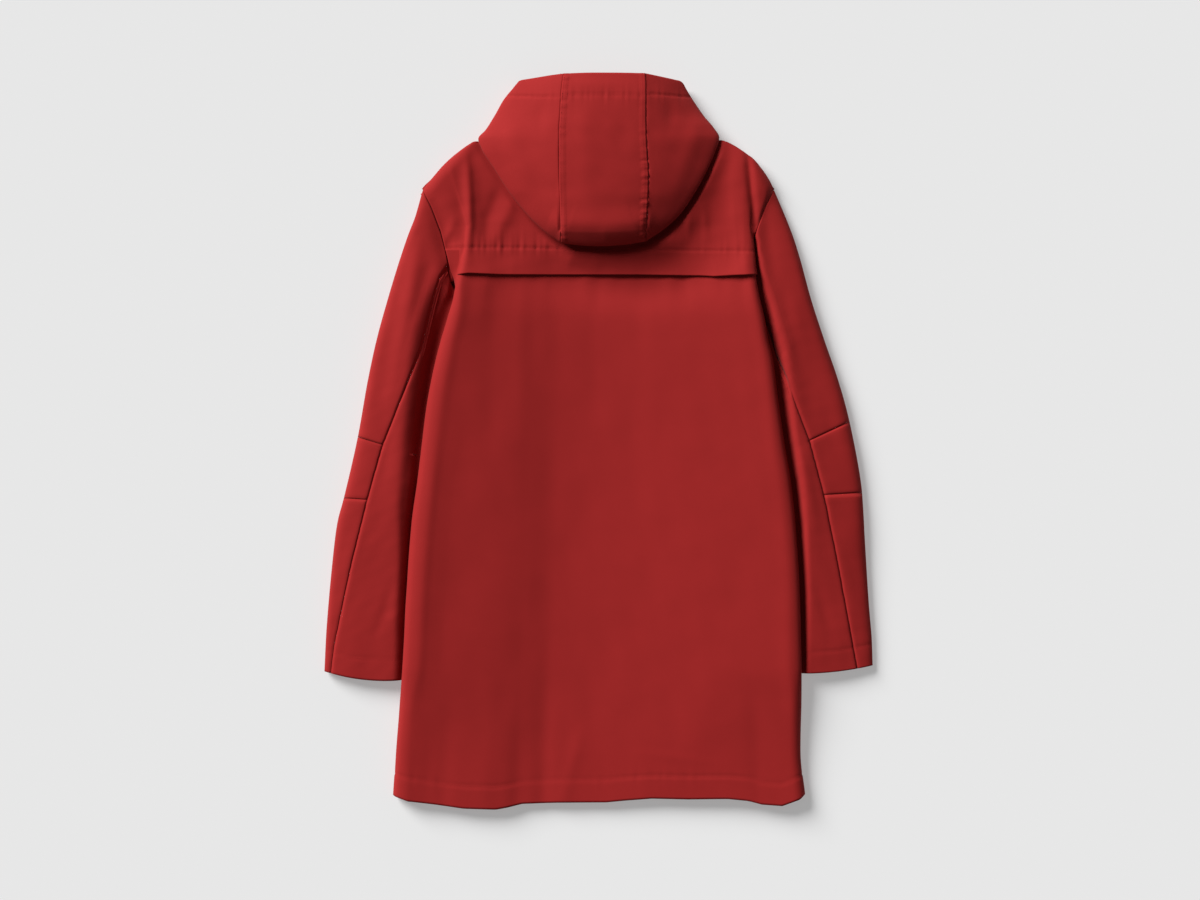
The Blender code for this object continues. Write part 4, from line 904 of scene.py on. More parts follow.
# %% [markdown]
# ## The back and its yoke
#
# The yoke is a storm flap: stitched down along its middle and loose along its lower edge, so it
# throws a thin shadow there. The stitched line is where the puckers are, and they fade within a
# finger's breadth. The lower panel shows long, nearly upright folds that start under the flap.

# %% Creases of the back
# Each crease has rows of x, y, half width and height. Two of them run on over a seam.
ARMHOLE_VALLEY = [(-214, 310, 8, 0), (-203, 280, 12, -3.5), (-194, 252, 14, -6.5),
                  (-189, 222, 12, -5.0), (-188, 194, 8, 0)]
HOOD_SHADE = [(-110, 212, 20, 0), (-60, 208, 28, -4.0), (0, 204, 32, -6.0), (60, 204, 32, -6.0),
              (110, 208, 28, -4.5), (150, 214, 20, 0)]
YOKE_CREASES = [
    ARMHOLE_VALLEY,
    [(-104, 318, 7, 0), (-112, 300, 9, 1.7), (-122, 280, 9, 2.0), (-129, 262, 7, 1.0),
     (-132, 250, 5, 0)],
    [(-124, 330, 7, 0), (-132, 308, 8, -1.3), (-141, 285, 8, -1.5), (-145, 262, 7, -0.8),
     (-146, 248, 5, 0)],
    [(-200, 250, 4, 0), (-190, 268, 5, 1.3), (-183, 290, 5, 0)],
    [(-170, 372, 4, 0), (-167, 345, 5, 2.0), (-165, 310, 5, 2.6), (-164, 275, 5, 2.2),
     (-168, 250, 5, 0.8), (-174, 225, 5, 0)],
    [(-181, 360, 7, 0), (-178, 335, 8, -1.4), (-175, 300, 8, -1.9), (-174, 270, 7, -1.0),
     (-178, 248, 5, 0)],
    [(157, 384, 8, 0), (152, 362, 12, 3.0), (134, 326, 16, 5.5), (118, 292, 17, 6.0),
     (98, 262, 15, 5.0), (70, 246, 12, 3.0), (40, 244, 10, 0)],
    [(-70, 262, 12, 0), (-30, 246, 18, 4.0), (0, 243, 20, 5.0), (40, 243, 20, 5.0),
     (80, 250, 18, 3.0), (110, 262, 14, 0)],
    HOOD_SHADE,
    [(92, 290, 5, 0), (94, 268, 5, 1.0), (92, 250, 5, 0)],
    [(114, 306, 5, 0), (115, 280, 5, 1.2), (114, 250, 5, 0)],
    [(134, 308, 5, 0), (136, 280, 5, 1.1), (138, 252, 5, 0)],
    [(176, 372, 9, 0), (176, 335, 11, 1.2), (175, 290, 10, 1.2), (178, 240, 8, 0)],
    [(190, 374, 4, 0), (192, 350, 5, -3.2), (195, 320, 5, -3.8), (198, 290, 5, -3.2),
     (200, 262, 5, -1.2), (201, 246, 5, 0)],
    [(-60, 240, 6, 0), (-38, 232, 6, 0.7), (-15, 226, 6, 0)],
]
BACK_CREASES = [
    HOOD_SHADE,
    [(-134, 205, 8, 0), (-134, 160, 14, -0.8), (-136, 40, 14, -0.7), (-140, -50, 13, 0)],
    [(-97, 205, 8, 0), (-98, 150, 13, 0.8), (-102, 20, 14, 0.6), (-106, -80, 14, 0)],
    [(-64, -230, 10, 0), (-68, -330, 13, -0.8), (-72, -462, 11, -1.2)],
    [(-104, -280, 10, 0), (-112, -370, 13, 0.7), (-118, -462, 12, 0.9)],
    [(-22, -360, 9, 0), (-30, -400, 9, 0.7), (-44, -455, 9, 0.5)],
    [(36, -396, 5, 0), (90, -402, 6, 0.4), (156, -412, 5, 0)],
    [(-10, 210, 9, 0), (-8, 130, 12, -0.4), (-4, 20, 14, 0)],
    [(60, 205, 9, 0), (64, 120, 14, 0.3), (70, -60, 16, 0.25), (80, -200, 16, 0)],
    [(168, 206, 8, 0), (170, 150, 12, -0.4), (176, 40, 14, -0.3), (186, -90, 14, 0)],
    [(196, -300, 9, 0), (200, -380, 11, -0.6), (204, -462, 10, -0.7)],
    [(-190, -320, 9, 0), (-194, -390, 11, -0.6), (-198, -465, 10, -0.7)],
]
STITCH_LINE = table("x y", [(-185, 247.5), (-100, 247.5), (0, 246), (100, 244), (205, 243)])
HEM_DEPTH = 29.0  # the hem's stitched line is this far up
SEAM_GROOVE = 1.6  # half width of the groove along a stitched line
UNDER_FLAP = LAYER + GAP + 0.3  # how much lower the panel under the flap lies
RIPPLES_AT, RIPPLES_REACH = 205, 22  # where ripples run down from the flap, and how far they fade
HEM_ZONE = -330  # the hem's puckers are only below this y
EDGE_WAVE = table("x y", [  # how far the flap's edge waves up and down
    (-182, 0), (-165, 1.5), (-126, 0), (53, 0), (131, -1.2), (147, -2.4), (171, -1.2), (203, 0)])
# How many columns the cloth has from each control point of the back to the next, and where its rows
# have to be; between them no two rows are further apart than BACK_STEP.
BACK_COLUMNS = [5, 4, 3, 4, 4, 5, 6, 14, 15, 13, 16, 18, 17, 17, 14, 6, 5, 4, 4, 3, 4, 5]
YOKE_COLUMNS = [5, 4, 3, 5, 4, 5, 7, 14, 17, 15, 19, 21, 21, 21, 17, 8, 6, 5, 5, 4, 4, 5]
BACK_ROWS = np.array([246, 236, 224, 213, 205, 198, 180, 125, -287, -303, -335, -430, HEM])
BACK_STEP, YOKE_STEP = 3.3, 1.9
YOKE_RISE, YOKE_RISE_ROWS = np.array([1, .985, .95, .87, .5, 0]), [3, 5, 7, 22, 28]
# Slow waves: height, length, seed, and how far they are drawn out along X and Y.
BACK_WAVES = ((0.45, 95, 3, (1.0, 2.2)), (0.16, 34, 4, (1.0, 1.6)))
YOKE_WAVES = ((0.35, 60, 13, (1.0, 1.0)), (0.14, 26, 14, (1.0, 1.0)))


# %% The back's cloth
def bent_back(columns, rows):
    """The back's surface at a finer spacing, with its normals and how far it faces up."""
    grid = back_surface(steps(np.arange(len(columns) + 1.0), 1.0, columns), rows)
    normals = face_normals(grid.reshape(-1, 3), grid_faces(grid.shape[:2])).reshape(grid.shape)
    if np.median(normals[..., 2]) < 0:
        normals = -normals
    return grid, normals, top_facing(normals)


def make_back():
    """The lower back, with its hem, let down by one layer under the flap."""
    rows = steps(BACK_ROWS, BACK_STEP, np.abs(np.diff(BACK_ROWS)))
    grid, normals, up = bent_back(BACK_COLUMNS, rows)
    x, y = grid[..., 0], grid[..., 1]
    lift = crease_height(grid, BACK_CREASES) * up
    lift += slow_waves(grid, BACK_WAVES)
    under_flap = np.exp(-np.abs(rows[:, None] - RIPPLES_AT) / RIPPLES_REACH)
    lift += 0.55 * puckers(x, 0 * x, 37, 1, 5) * under_flap * up
    # the hem: puckers and a groove along its stitching, and a doubled layer below
    from_hem = y - np.interp(x, HEM_LINE["x"], HEM_LINE["y"])
    stitched = from_hem - HEM_DEPTH
    near_hem = np.where(rows[:, None] < HEM_ZONE, 1.0, 0.0)
    groove = bell(stitched, SEAM_GROOVE)
    lift += near_hem * (0.20 * puckers(x, stitched, 11, 7, 6) - 0.5 * groove)
    lift += near_hem * 0.35 * smooth((HEM_DEPTH - from_hem) / 3)
    grid = grid + normals * lift[..., None]
    lower = smooth((rows - LAYERED_TO) / (LAYERED_FROM - LAYERED_TO))
    grid -= normals * (UNDER_FLAP * lower)[:, None, None]
    grid[..., 2] = np.maximum(grid[..., 2], 0)
    faces = facing_out(grid.reshape(-1, 3), grid_faces(grid.shape[:2]), (0, 0))
    grid_cloth("back_lower", grid, faces)


def make_yoke():
    """The yoke, pressed down beside the hood and standing off along its loose edge."""
    lower = np.arange(SECTION_TOP, FLAP_EDGE - 0.1, -YOKE_STEP)
    rise = steps(YOKE_RISE, 1.0, YOKE_RISE_ROWS)
    rows = np.concatenate([SECTION_TOP + rise[:-1], lower, [FLAP_EDGE]])
    grid, normals, up = bent_back(YOKE_COLUMNS, rows)
    columns = steps(np.arange(len(YOKE_COLUMNS) + 1.0), 1.0, YOKE_COLUMNS)
    x, y = grid[..., 0], grid[..., 1]
    at_hood = np.where(inside(grid, HOOD_OUTLINE), 0, to_lines(grid, HOOD_OUTLINE))
    stitched = y - np.interp(x, STITCH_LINE["x"], STITCH_LINE["y"])
    lift = crease_height(grid, YOKE_CREASES)
    lift += slow_waves(grid, YOKE_WAVES)
    # puckers along the stitching, stronger on the left and longer above it
    more = 0.55 + 0.75 * smooth((-40 - x) / 40)
    reach = np.where(stitched > 0, 9.0, 5.0)
    lift += 0.6 * more * puckers(x, stitched / reach, 10, 1, 15)
    lift -= 0.7 * bell(stitched, SEAM_GROOVE)
    lift = lift * up * smooth(at_hood / 10)
    lift -= 1.6 * bell(at_hood, 5) * up
    # the loose edge stands off, unevenly, and waves a little along its length
    inward = np.clip(np.minimum(columns - 3, 19 - columns) / 3, 0, 1)
    uneven = 1 + 1.6 * smooth((columns - 12) / 5) + 0.5 * np.sin(x[-1] / 31)
    free_from = FLAP_TOP - 8
    drop = np.clip((free_from - rows) / (free_from - FLAP_EDGE), 0, 1) ** 1.5
    lift += FLAP_LIFT * inward * uneven * drop[:, None]
    grid = grid + normals * lift[..., None]
    edge_wave = np.interp(grid[-1, :, 0], EDGE_WAVE["x"], EDGE_WAVE["y"])
    grid[..., 1] += edge_wave * drop[:, None]
    faces = facing_out(grid.reshape(-1, 3), grid_faces(grid.shape[:2]), (0, 235))
    grid_cloth("back_yoke", grid, faces)


make_back()
make_yoke()

# %% [markdown]
# ## The fronts
#
# Nothing of the fronts shows in the photograph. They lie on the table and rise only where a
# sleeve lies beneath them. They get the same slow waves as the back, laid inwards so that the
# table stays clear.

# %% The fronts' cloth
FRONT_FINER = (3, 7)  # rows and columns of the cloth for each of the CAD model's


def make_front(right):
    """A front panel, which lies on the table, or over a sleeve at its side."""
    grid = front_grid(right)
    rows, columns = (steps(np.arange(float(count)), 1.0, [finer] * (count - 1))
                     for count, finer in zip(grid.shape, FRONT_FINER))
    grid = at_columns(curve(rows, np.arange(grid.shape[0]), grid), columns)
    inwards = 0.5 + 0.5 * waves(grid, 80, 31 + right, (1.0, 2.0))
    edge = np.minimum(1, to_lines(grid, TABLE_EDGES[right]) / 12)
    grid[..., 2] += 0.7 * np.clip(inwards, 0, 1) * edge
    faces = facing_out(grid.reshape(-1, 3), grid_faces(grid.shape[:2]),
                       (OUT[right] * 90, -100), up=False)
    grid_cloth("front_" + SIDES[right], grid, faces)


make_front(0)
make_front(1)

# %% [markdown]
# ## The sleeves
#
# The outer strip of each sleeve is three panels, with an elbow panel between two cross seams. A
# seam shows as a groove, because both edges turn in. The creases run where an arm would bend.

# %% The sleeves' cloth
SLEEVE_CREASES = [
    [
        ARMHOLE_VALLEY,
        [(-219, 348, 6, 0), (-214, 325, 8, -1.6), (-219, 300, 7, 0)],
        [(-228, 262, 9, 0), (-234, 225, 12, 4.0), (-240, 181, 13, 5.5), (-250, 120, 13, 4.0),
         (-262, 60, 12, 2.0), (-264, 20, 10, 0)],
        [(-190, 226, 8, 0), (-197, 200, 12, -3.5), (-202, 175, 13, -5.5), (-210, 130, 12, -5.5),
         (-218, 90, 10, -4.5), (-226, 45, 9, -3.5), (-232, 0, 8, -2.5), (-238, -60, 7, 0)],
        [(-262, 20, 8, 0), (-272, -20, 9, -0.8), (-280, -60, 8, 0)],
        [(-300, -90, 8, 0), (-318, -150, 9, 1.0), (-330, -230, 8, 0)],
        [(-262, -175, 6, 0), (-272, -215, 7, -1.2), (-290, -262, 6, 0)],
        [(-258, -215, 4, 0), (-262, -226, 5, 0.9), (-258, -240, 4, 0)],
    ],
    [
        [(214, 300, 6, 0), (216, 255, 8, -1.2), (226, 190, 9, -1.0), (238, 120, 8, 0)],
        [(240, 220, 7, 0), (254, 150, 10, 1.0), (268, 90, 9, 0)],
        [(256, -6, 7, 0), (260, -30, 9, 1.7), (270, -80, 9, 1.6), (279, -122, 8, 0)],
        [(284, 70, 7, 0), (296, 20, 9, -0.8), (306, -40, 8, 0)],
        [(300, -110, 8, 0), (316, -170, 9, 0.9), (328, -240, 8, 0)],
        [(276, -170, 7, 0), (288, -220, 8, -1.0), (300, -262, 7, 0)],
    ],
]
CUFF_DEPTH = 27.0  # the cuff's stitched line is this far up
ROW_GAP = 0.001  # between two of a sleeve's panels, in rows
# Where a sleeve's rows have to be, in rows of its table, for each panel of its outer strip, and
# about how many millimetres lie between them; no step is longer than SLEEVE_STEP.
PANEL_ROWS = [
    [0.025, 1, 2, 3, 4, 5, 6, ELBOW_ROWS[0] - ROW_GAP],
    [ELBOW_ROWS[0] + ROW_GAP, ELBOW_ROWS[1] - ROW_GAP],
    [ELBOW_ROWS[1] + ROW_GAP, 9, 10, 11, 11.6, CUFF_ROW],
]
PANEL_LENGTHS = [[32, 24, 36, 53, 53, 53, 72], [78], [32, 52, 90, 28, 20]]
SLEEVE_STEP = 3.0
SEAM_FROM, SEAM_REACH = 190, 60  # the long seam shows from this y down, fully after this distance
TAPE_FROM = 0.62  # tape lies under a seam where it is higher than this share of its top
SLEEVE_WAVES = ((0.4, 55, 41, (1.0, 1.6)), (0.12, 22, 43, (1.0, 1.0)))


def make_sleeve(right):
    """A sleeve's four panels, cut from one tube, and the lines of its seams for the tape."""
    side = SIDES[right]
    parts = [steps(np.array(marks, float), SLEEVE_STEP, lengths)
             for marks, lengths in zip(PANEL_ROWS, PANEL_LENGTHS)]
    rows = np.concatenate(parts)
    share = lambda count: tuple(np.linspace(0, 1, count)[:-1])
    ease = lambda count: tuple(np.sin(np.linspace(0, np.pi / 2, count))[:-1])
    grid, strip = sleeve_grid(right, rows, ease(22), tuple(np.linspace(0, 1, 12) ** 1.4),
                              share(38), tuple(np.linspace(0, 1, 30)))
    closed = np.concatenate([grid, grid[:, :1]], 1)
    faces = grid_faces(closed.shape[:2])
    normals = face_normals(closed.reshape(-1, 3), faces).reshape(closed.shape)[:, :-1]
    if np.median(normals[:, 3, 2]) < 0:
        normals = -normals
    up = top_facing(normals)
    back = BACKS[right]
    edge = at_height(grid[..., 1], back, "edge")
    open_air = smooth((np.abs(grid[..., 0]) - edge - 2) / 8)
    lift = crease_height(grid, SLEEVE_CREASES[right])
    lift += slow_waves(grid, SLEEVE_WAVES, right)
    # a groove along each seam that shows
    seam = BACK_SEAMS[right]
    shown = smooth((SEAM_FROM - grid[..., 1]) / SEAM_REACH)
    lift -= 0.9 * bell(to_lines(grid, seam), 1.8) * shown
    for row in ELBOW_ROWS:
        line = sleeve_plan(right, np.array([float(row)]), np.array([[0.0, 1.0]]))[0]
        ends = np.stack([line[0], seam[to_lines(seam, line).argmin()]])
        lift -= 0.9 * bell(to_lines(grid, ends), 1.8)
    cuff = sleeve_plan(right, np.array([float(CUFF_ROW)]), np.linspace(0, 1, 40)[None])[0]
    stitched = to_lines(grid, cuff) - CUFF_DEPTH
    lift += 0.15 * puckers(grid[..., 0], stitched, 10, 6, 51 + right)
    lift -= 0.45 * bell(stitched, 1.5)
    # ridges only where the sleeve lies open, hollows also just under the body's edge
    beside = smooth((np.abs(grid[..., 0]) - edge + 4) / 6)
    lift *= up * np.where(lift < 0, beside, open_air)
    grid = grid + normals * lift[..., None]
    under_sleeve = grid[:, strip:]
    shapes = [(f"under_sleeve_{side}", under_sleeve)]
    ends = np.cumsum([0] + [len(p) for p in parts])
    names = ("top_sleeve_upper_", "elbow_panel_", "top_sleeve_lower_")
    for name, start, stop in zip(names, ends, ends[1:]):
        shapes.append((name + side, grid[start:stop, :strip]))
    for name, part in shapes:
        faces = grid_faces(part.shape[:2])
        points = part.reshape(-1, 3)
        mean = face_normals(points, faces).reshape(part.shape)
        toward = normals[:, strip:] if part is under_sleeve else normals[:1, :1]
        if part is under_sleeve:
            wrong = (mean * toward).sum() < 0
        else:
            middle = part.shape[0] // 2
            wrong = mean[middle, 3, 2] < 0
        if wrong:
            faces = faces[:, ::-1]
        grid_cloth(name, part, faces)
    round_armhole = np.roll(grid[0], grid.shape[1] // 2, axis=0)
    for line in (round_armhole, grid[ends[1], :strip], grid[ends[2], :strip], grid[4:-4, 0]):
        seam_lines.append(line[line[:, 2] > TAPE_FROM * line[:, 2].max()])


seam_lines = []
make_sleeve(0)
make_sleeve(1)

# %% [markdown]
# ## The hood
#
# The hood is the one part with real height. Its centre panel is a ribbon that goes over the crown
# and round the fold, and its two seams are topstitched, which draws the cloth beside them into
# puckers.

# %% The hood's cloth
HOOD_CREASES = [
    [(-120, 420, 10, 0), (-112, 395, 14, 1.4), (-96, 350, 14, 1.2), (-80, 310, 10, 0)],
    [(-134, 380, 7, 0), (-120, 350, 9, -1.2), (-100, 318, 8, 0)],
    [(-70, 440, 7, 0), (-74, 415, 9, -0.9), (-72, 380, 8, 0)],
    [(90, 446, 7, 0), (92, 415, 9, -0.9), (88, 375, 8, 0)],
    [(128, 425, 10, 0), (122, 390, 13, 1.4), (108, 345, 13, 1.0), (92, 305, 9, 0)],
    [(-20, 440, 10, 0), (-18, 400, 14, 0.9), (-16, 330, 14, 0.5), (-14, 290, 10, 0)],
    [(30, 436, 8, 0), (32, 390, 12, -0.7), (30, 330, 12, 0)],
    [(-62, 286, 13, 0), (-36, 276, 17, 3.5), (8, 272, 18, 5), (44, 276, 17, 4), (72, 288, 13, 0)],
]


HOOD_WAVES = ((0.5, 60, 61, (1.0, 1.0)), (0.18, 24, 62, (1.0, 1.0)))
HOOD_HEM = np.array([(-112, 441), (-50, 438), (-35, 440), (56, 440), (62, 442), (109, 440)], float)
HOOD_STEP, HOOD_UNDER_STEP = 2.4, 3.2
CENTRE_ROWS, CENTRE_COLUMNS = 90, 56  # rows of the centre panel to the fold, and columns across


def hood_lift(grid, up):
    """Creases, the hem's stitched line and slow waves of the hood."""
    x, y = grid[..., 0], grid[..., 1]
    lift = crease_height(grid, HOOD_CREASES)
    lift += slow_waves(grid, HOOD_WAVES)
    stitched = y - np.interp(x, HOOD_HEM[:, 0], HOOD_HEM[:, 1])
    wide = np.where(np.abs(x) < 125, 1.0, 0.0)
    lift += wide * (0.4 * puckers(x, stitched, 9, 6, 63) - 0.8 * bell(stitched, SEAM_GROOVE))
    return lift * up


def make_hood():
    """Both side panels' points, and the edge of each along the centre panel."""
    parts, paths = [], []
    for right in (0, 1):
        top, table_side, back_side = hood_grids(right)
        start = table_side.shape[0]
        number = np.arange(float(len(top)))
        lengths = np.linalg.norm(np.diff(top[:, 4], axis=0), axis=-1)
        rows = steps(number, HOOD_STEP, lengths)
        neck = int(np.flatnonzero(rows == start - 1)[0])
        top_dense = curve(rows, number, top)
        table_dense = curve(rows[:neck + 1], number[:start], table_side)
        back_dense = curve(rows[neck:], number[start - 1:], back_side)
        widths = np.linalg.norm(np.diff(top[5], axis=0), axis=-1)
        top_columns = steps(np.arange(float(top.shape[1])), HOOD_STEP, widths)
        halves = []
        for under, upper in ((table_dense, top_dense[:neck + 1]), (back_dense, top_dense[neck:])):
            both = np.concatenate([upper, under], 1)
            widths = np.linalg.norm(np.diff(both, axis=1), axis=-1).mean(0)[top.shape[1] - 1:]
            under_at = np.arange(top.shape[1] - 1.0, both.shape[1])
            under_columns = steps(under_at, HOOD_UNDER_STEP, widths)[1:]
            halves.append(at_columns(both, np.concatenate([top_columns, under_columns])))
        wide = len(top_columns)
        upper = np.concatenate([halves[0][:, :wide], halves[1][1:, :wide]])
        back_part = halves[1][:, wide:]
        parts.append((upper, halves[0][:, wide:], back_part, neck))
        paths.append(np.concatenate(
            [upper[:-1, 0], upper[-1], back_part[-1], back_part[-2::-1, -1]]))
    return parts, paths


hood_parts, hood_paths = make_hood()
hood_turns = [len(upper) - 1 for upper, _, _, _ in hood_parts]  # where each edge goes under


def make_hood_side(right):
    """A side panel: its top, and its under side in two parts that meet at the neck."""
    *parts, neck = hood_parts[right]
    upper, _, back_part = parts
    numbers, count = [], 0
    for part in parts:
        number = np.arange(part.shape[0] * part.shape[1]).reshape(part.shape[:2])
        numbers.append(count + number)
        count += number.size
    on_top, on_table, on_back = numbers
    faces = np.concatenate([
        quads(on_top), quads(np.column_stack([on_top[:neck + 1, -1], on_table])),
        quads(np.column_stack([on_top[neck:, -1], on_back]))])
    points = np.concatenate([part.reshape(-1, 3) for part in parts])
    if face_normals(points, faces)[on_top[10:-10, 5:10], 2].mean() < 0:
        faces = faces[:, ::-1]
    normals = face_normals(points, faces)
    up = top_facing(normals)
    seam = hood_paths[right][: len(upper)]
    from_seam = to_lines(points, seam[::4, :2])
    lift = hood_lift(points, up) * smooth((from_seam + 1) / 5)
    lift -= 0.35 * bell(from_seam, 1.8) * up
    points = points + normals * lift[:, None]
    places = np.linspace(points[:, 0].min(), points[:, 0].max(), 42)[1:-1]
    along = max(section_length(points, faces, x) for x in places)
    cloth("hood_side_" + SIDES[right], points, faces)
    area_of(points, faces)


def make_hood_centre():
    """The centre panel, a ribbon between the two sides' edges."""
    edges = []
    for path, turn in zip(hood_paths, hood_turns):
        places = np.concatenate([np.linspace(0, turn, CENTRE_ROWS)[:-1],
                                 np.linspace(turn, len(path) - 1, CENTRE_ROWS)])
        edges.append(np.stack([np.interp(places, np.arange(len(path)), path[:, axis])
                               for axis in range(3)], -1))
    left, right = edges
    left[:, 0] += GAP
    right[:, 0] -= GAP
    share = np.linspace(0, 1, CENTRE_COLUMNS)
    grid = mix(left[:, None], right[:, None], share[None, :, None])
    bulge = 4 * share * (1 - share)
    length = lengths_along(left)
    turn = length[CENTRE_ROWS - 1]
    # it swells between its seams, less and less round the fold, which hangs a little lower
    over = smooth((length - turn + 4) / 44)
    swell = HOOD_CROWN * (1 - over) * mix(0.6, 1, smooth(length / 20))
    grid[..., 2] += swell[:, None] * bulge
    grid[0, :, 1] += 0.8 * bulge
    fold = bell(length - turn - 22, 20)
    grid[..., 1] -= 5.4 * fold[:, None] * bulge
    faces = facing_out(grid.reshape(-1, 3), grid_faces(grid.shape[:2]), (0, 380))
    normals = face_normals(grid.reshape(-1, 3), faces).reshape(grid.shape)
    up = top_facing(normals)
    away = np.minimum(share, 1 - share) * 110  # millimetres from the nearer seam, nearly
    along = np.broadcast_to(length[:, None], grid.shape[:2])
    lift = hood_lift(grid, up) * smooth((away + 1) / 6)
    # the seams' turnings: a raised, puckered band with a groove at each of its two stitched lines
    ripple = np.where(share < 0.5, puckers(along, 0 * away, 9, 1, 71),
                      puckers(along, 0 * away, 9, 1, 72))
    band = smooth((9.5 - away) / 2.5)
    lift += up * band * (0.45 + 0.55 * ripple)
    for stitched in (1.5, 7.5):
        lift -= 0.35 * bell(away - stitched, 1.2) * up
    grid = grid + normals * lift[..., None]
    grid_cloth("hood_centre", grid, faces)


TAPE_SECTION = ((-4, 2.1), (4, 2.1), (4, 2.7), (-4, 2.7))  # its corners: across, and down


def make_seam_tape(lines):
    """Strips under the seams, which close the gaps between the panels from inside."""
    points, faces = [], []
    for line in lines:
        run = unit(np.gradient(line, axis=0))
        side = unit(np.cross(run, (0, 0, 1.0)))
        down = np.cross(side, run)
        down = down * np.where(down[:, 2:] > 0, -1, 1)
        start = sum(len(p) for p in points)
        for wide, deep in TAPE_SECTION:
            points.append(line + side * wide + down * deep)
        index = start + np.arange(4 * len(line)).reshape(4, len(line))
        index = np.concatenate([index, index[:1]])
        faces += quads(index).tolist()
        faces += [index[:4, 0].tolist(), index[:4, -1][::-1].tolist()]
    mesh = bpy.data.meshes.new("seam_tape")
    mesh.from_pydata((np.concatenate(points) * MM).tolist(), [], faces)
    mesh.update()
    tape = add_object("seam_tape", mesh)
    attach(tape, "root")
    return tape


make_hood_side(0)
make_hood_side(1)
make_hood_centre()
seam_lines += [path[:turn + 12:2] for path, turn in zip(hood_paths, hood_turns)]
tape = make_seam_tape(seam_lines)

# %% [markdown]
# ## Thread
#
# Stitches are small, so they are made as short faceted grains of thread laid on the cloth, one
# for each stitch, joined into one object. A run is a line seen from above; each grain is set on
# the nearest point of the cloth below it and tilted with it.

# %% Stitches
STITCH, STITCH_GAP, THREAD = 2.6, 0.9, 0.42  # length, space between and half width
TIPS_IN, STITCH_IN = 0.12, 0.3  # how far a stitch's tips and its middle reach into the cloth
REACH = 4  # a stitch further than this from any point of its piece is left out


def resample(line, spacing):
    """Points along a line, this far apart, as seen from above."""
    line = np.asarray(line, float)
    length = lengths_along(line)
    places = np.arange(spacing / 2, length[-1], spacing)
    return np.stack([np.interp(places, length, line[:, axis]) for axis in (0, 1)], -1)


def grains(line, node):
    """Corner points of the stitches along a line, lying on the piece for that node."""
    cloth_piece = pieces[node]
    up = cloth_piece["normals"][:, 2] > 0.15
    points, normals = cloth_piece["points"][up], cloth_piece["normals"][up]
    centres = resample(line, STITCH + STITCH_GAP)
    runs = unit(np.gradient(centres, axis=0))
    made = []
    for centre, run in zip(centres, runs):
        nearest = ((points[:, :2] - centre) ** 2).sum(1).argmin()
        base, normal = points[nearest], normals[nearest]
        shift = centre - base[:2]
        if np.abs(shift).max() > REACH:
            continue
        z = base[2] - (normal[0] * shift[0] + normal[1] * shift[1]) / normal[2]
        middle = np.array([*centre, z])
        ahead = unit(np.array([*run, 0]) - normal * (np.array([*run, 0]) @ normal))
        side = np.cross(normal, ahead)
        tips = [middle + end * ahead * STITCH / 2 - normal * TIPS_IN for end in (-1, 1)]
        made.append(tips + [
            middle + side * THREAD, middle - side * THREAD, middle + normal * THREAD * 0.8,
            middle - normal * STITCH_IN])
    return np.array(made).reshape(-1, 6, 3)


def make_stitches():
    """Every stitched line that shows, as one object of thread."""
    xs = np.linspace(-252, 252, 90)
    hem = np.stack([xs, np.interp(xs, HEM_LINE["x"], HEM_LINE["y"]) + HEM_DEPTH], -1)
    xs = np.linspace(-178, 196, 60)
    yoke = np.stack([xs, np.interp(xs, STITCH_LINE["x"], STITCH_LINE["y"])], -1)
    runs = [(hem, "back_lower"), (yoke, "back_yoke")]
    for out, path, turn in zip(OUT, hood_paths, hood_turns):
        for away in (1.6, 7.5):
            runs.append((path[:turn:4, :2] + [-out * away, 0], "hood_centre"))
    runs += [
        ([(-108, 440.5), (-50, 438), (-44, 439)], "hood_side_left"),
        ([(-42, 439.3), (0, 440.2), (57, 440)], "hood_centre"),
        ([(62, 442), (108, 440)], "hood_side_right"),
    ]
    for right, side in enumerate(SIDES):
        shown = np.linspace(0.02, 0.72, 30)[None]
        line = sleeve_plan(right, np.array([float(CUFF_ROW)]), shown)[0] + [0, CUFF_DEPTH]
        runs += [(line, "under_sleeve_" + side), (line, "top_sleeve_lower_" + side)]
    corners = [grains(line, node) for line, node in runs]
    corners = np.concatenate([c for c in corners if len(c)])
    shape = np.array([(0, 2, 4), (2, 1, 4), (1, 3, 4), (3, 0, 4), (2, 0, 5), (1, 2, 5),
                      (3, 1, 5), (0, 3, 5)])[:, ::-1]
    faces = (shape[None] + 6 * np.arange(len(corners))[:, None, None]).reshape(-1, 3)
    mesh = bpy.data.meshes.new("stitches")
    mesh.from_pydata((corners.reshape(-1, 3) * MM).tolist(), [], faces.tolist())
    mesh.update()
    thread = add_object("stitches", mesh)
    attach(thread, "root")
    print("stitches:", len(corners))
    return thread


thread = make_stitches()

# %% [markdown]
# ## The cloth's finish
#
# A tight cotton weave is matt, with a faint sheen where it turns away, and its colour is deeper
# in the hollows between the threads. The weave itself is far finer than a pixel here, so it is a
# low bump, and a slow noise keeps the panels from being one flat red.

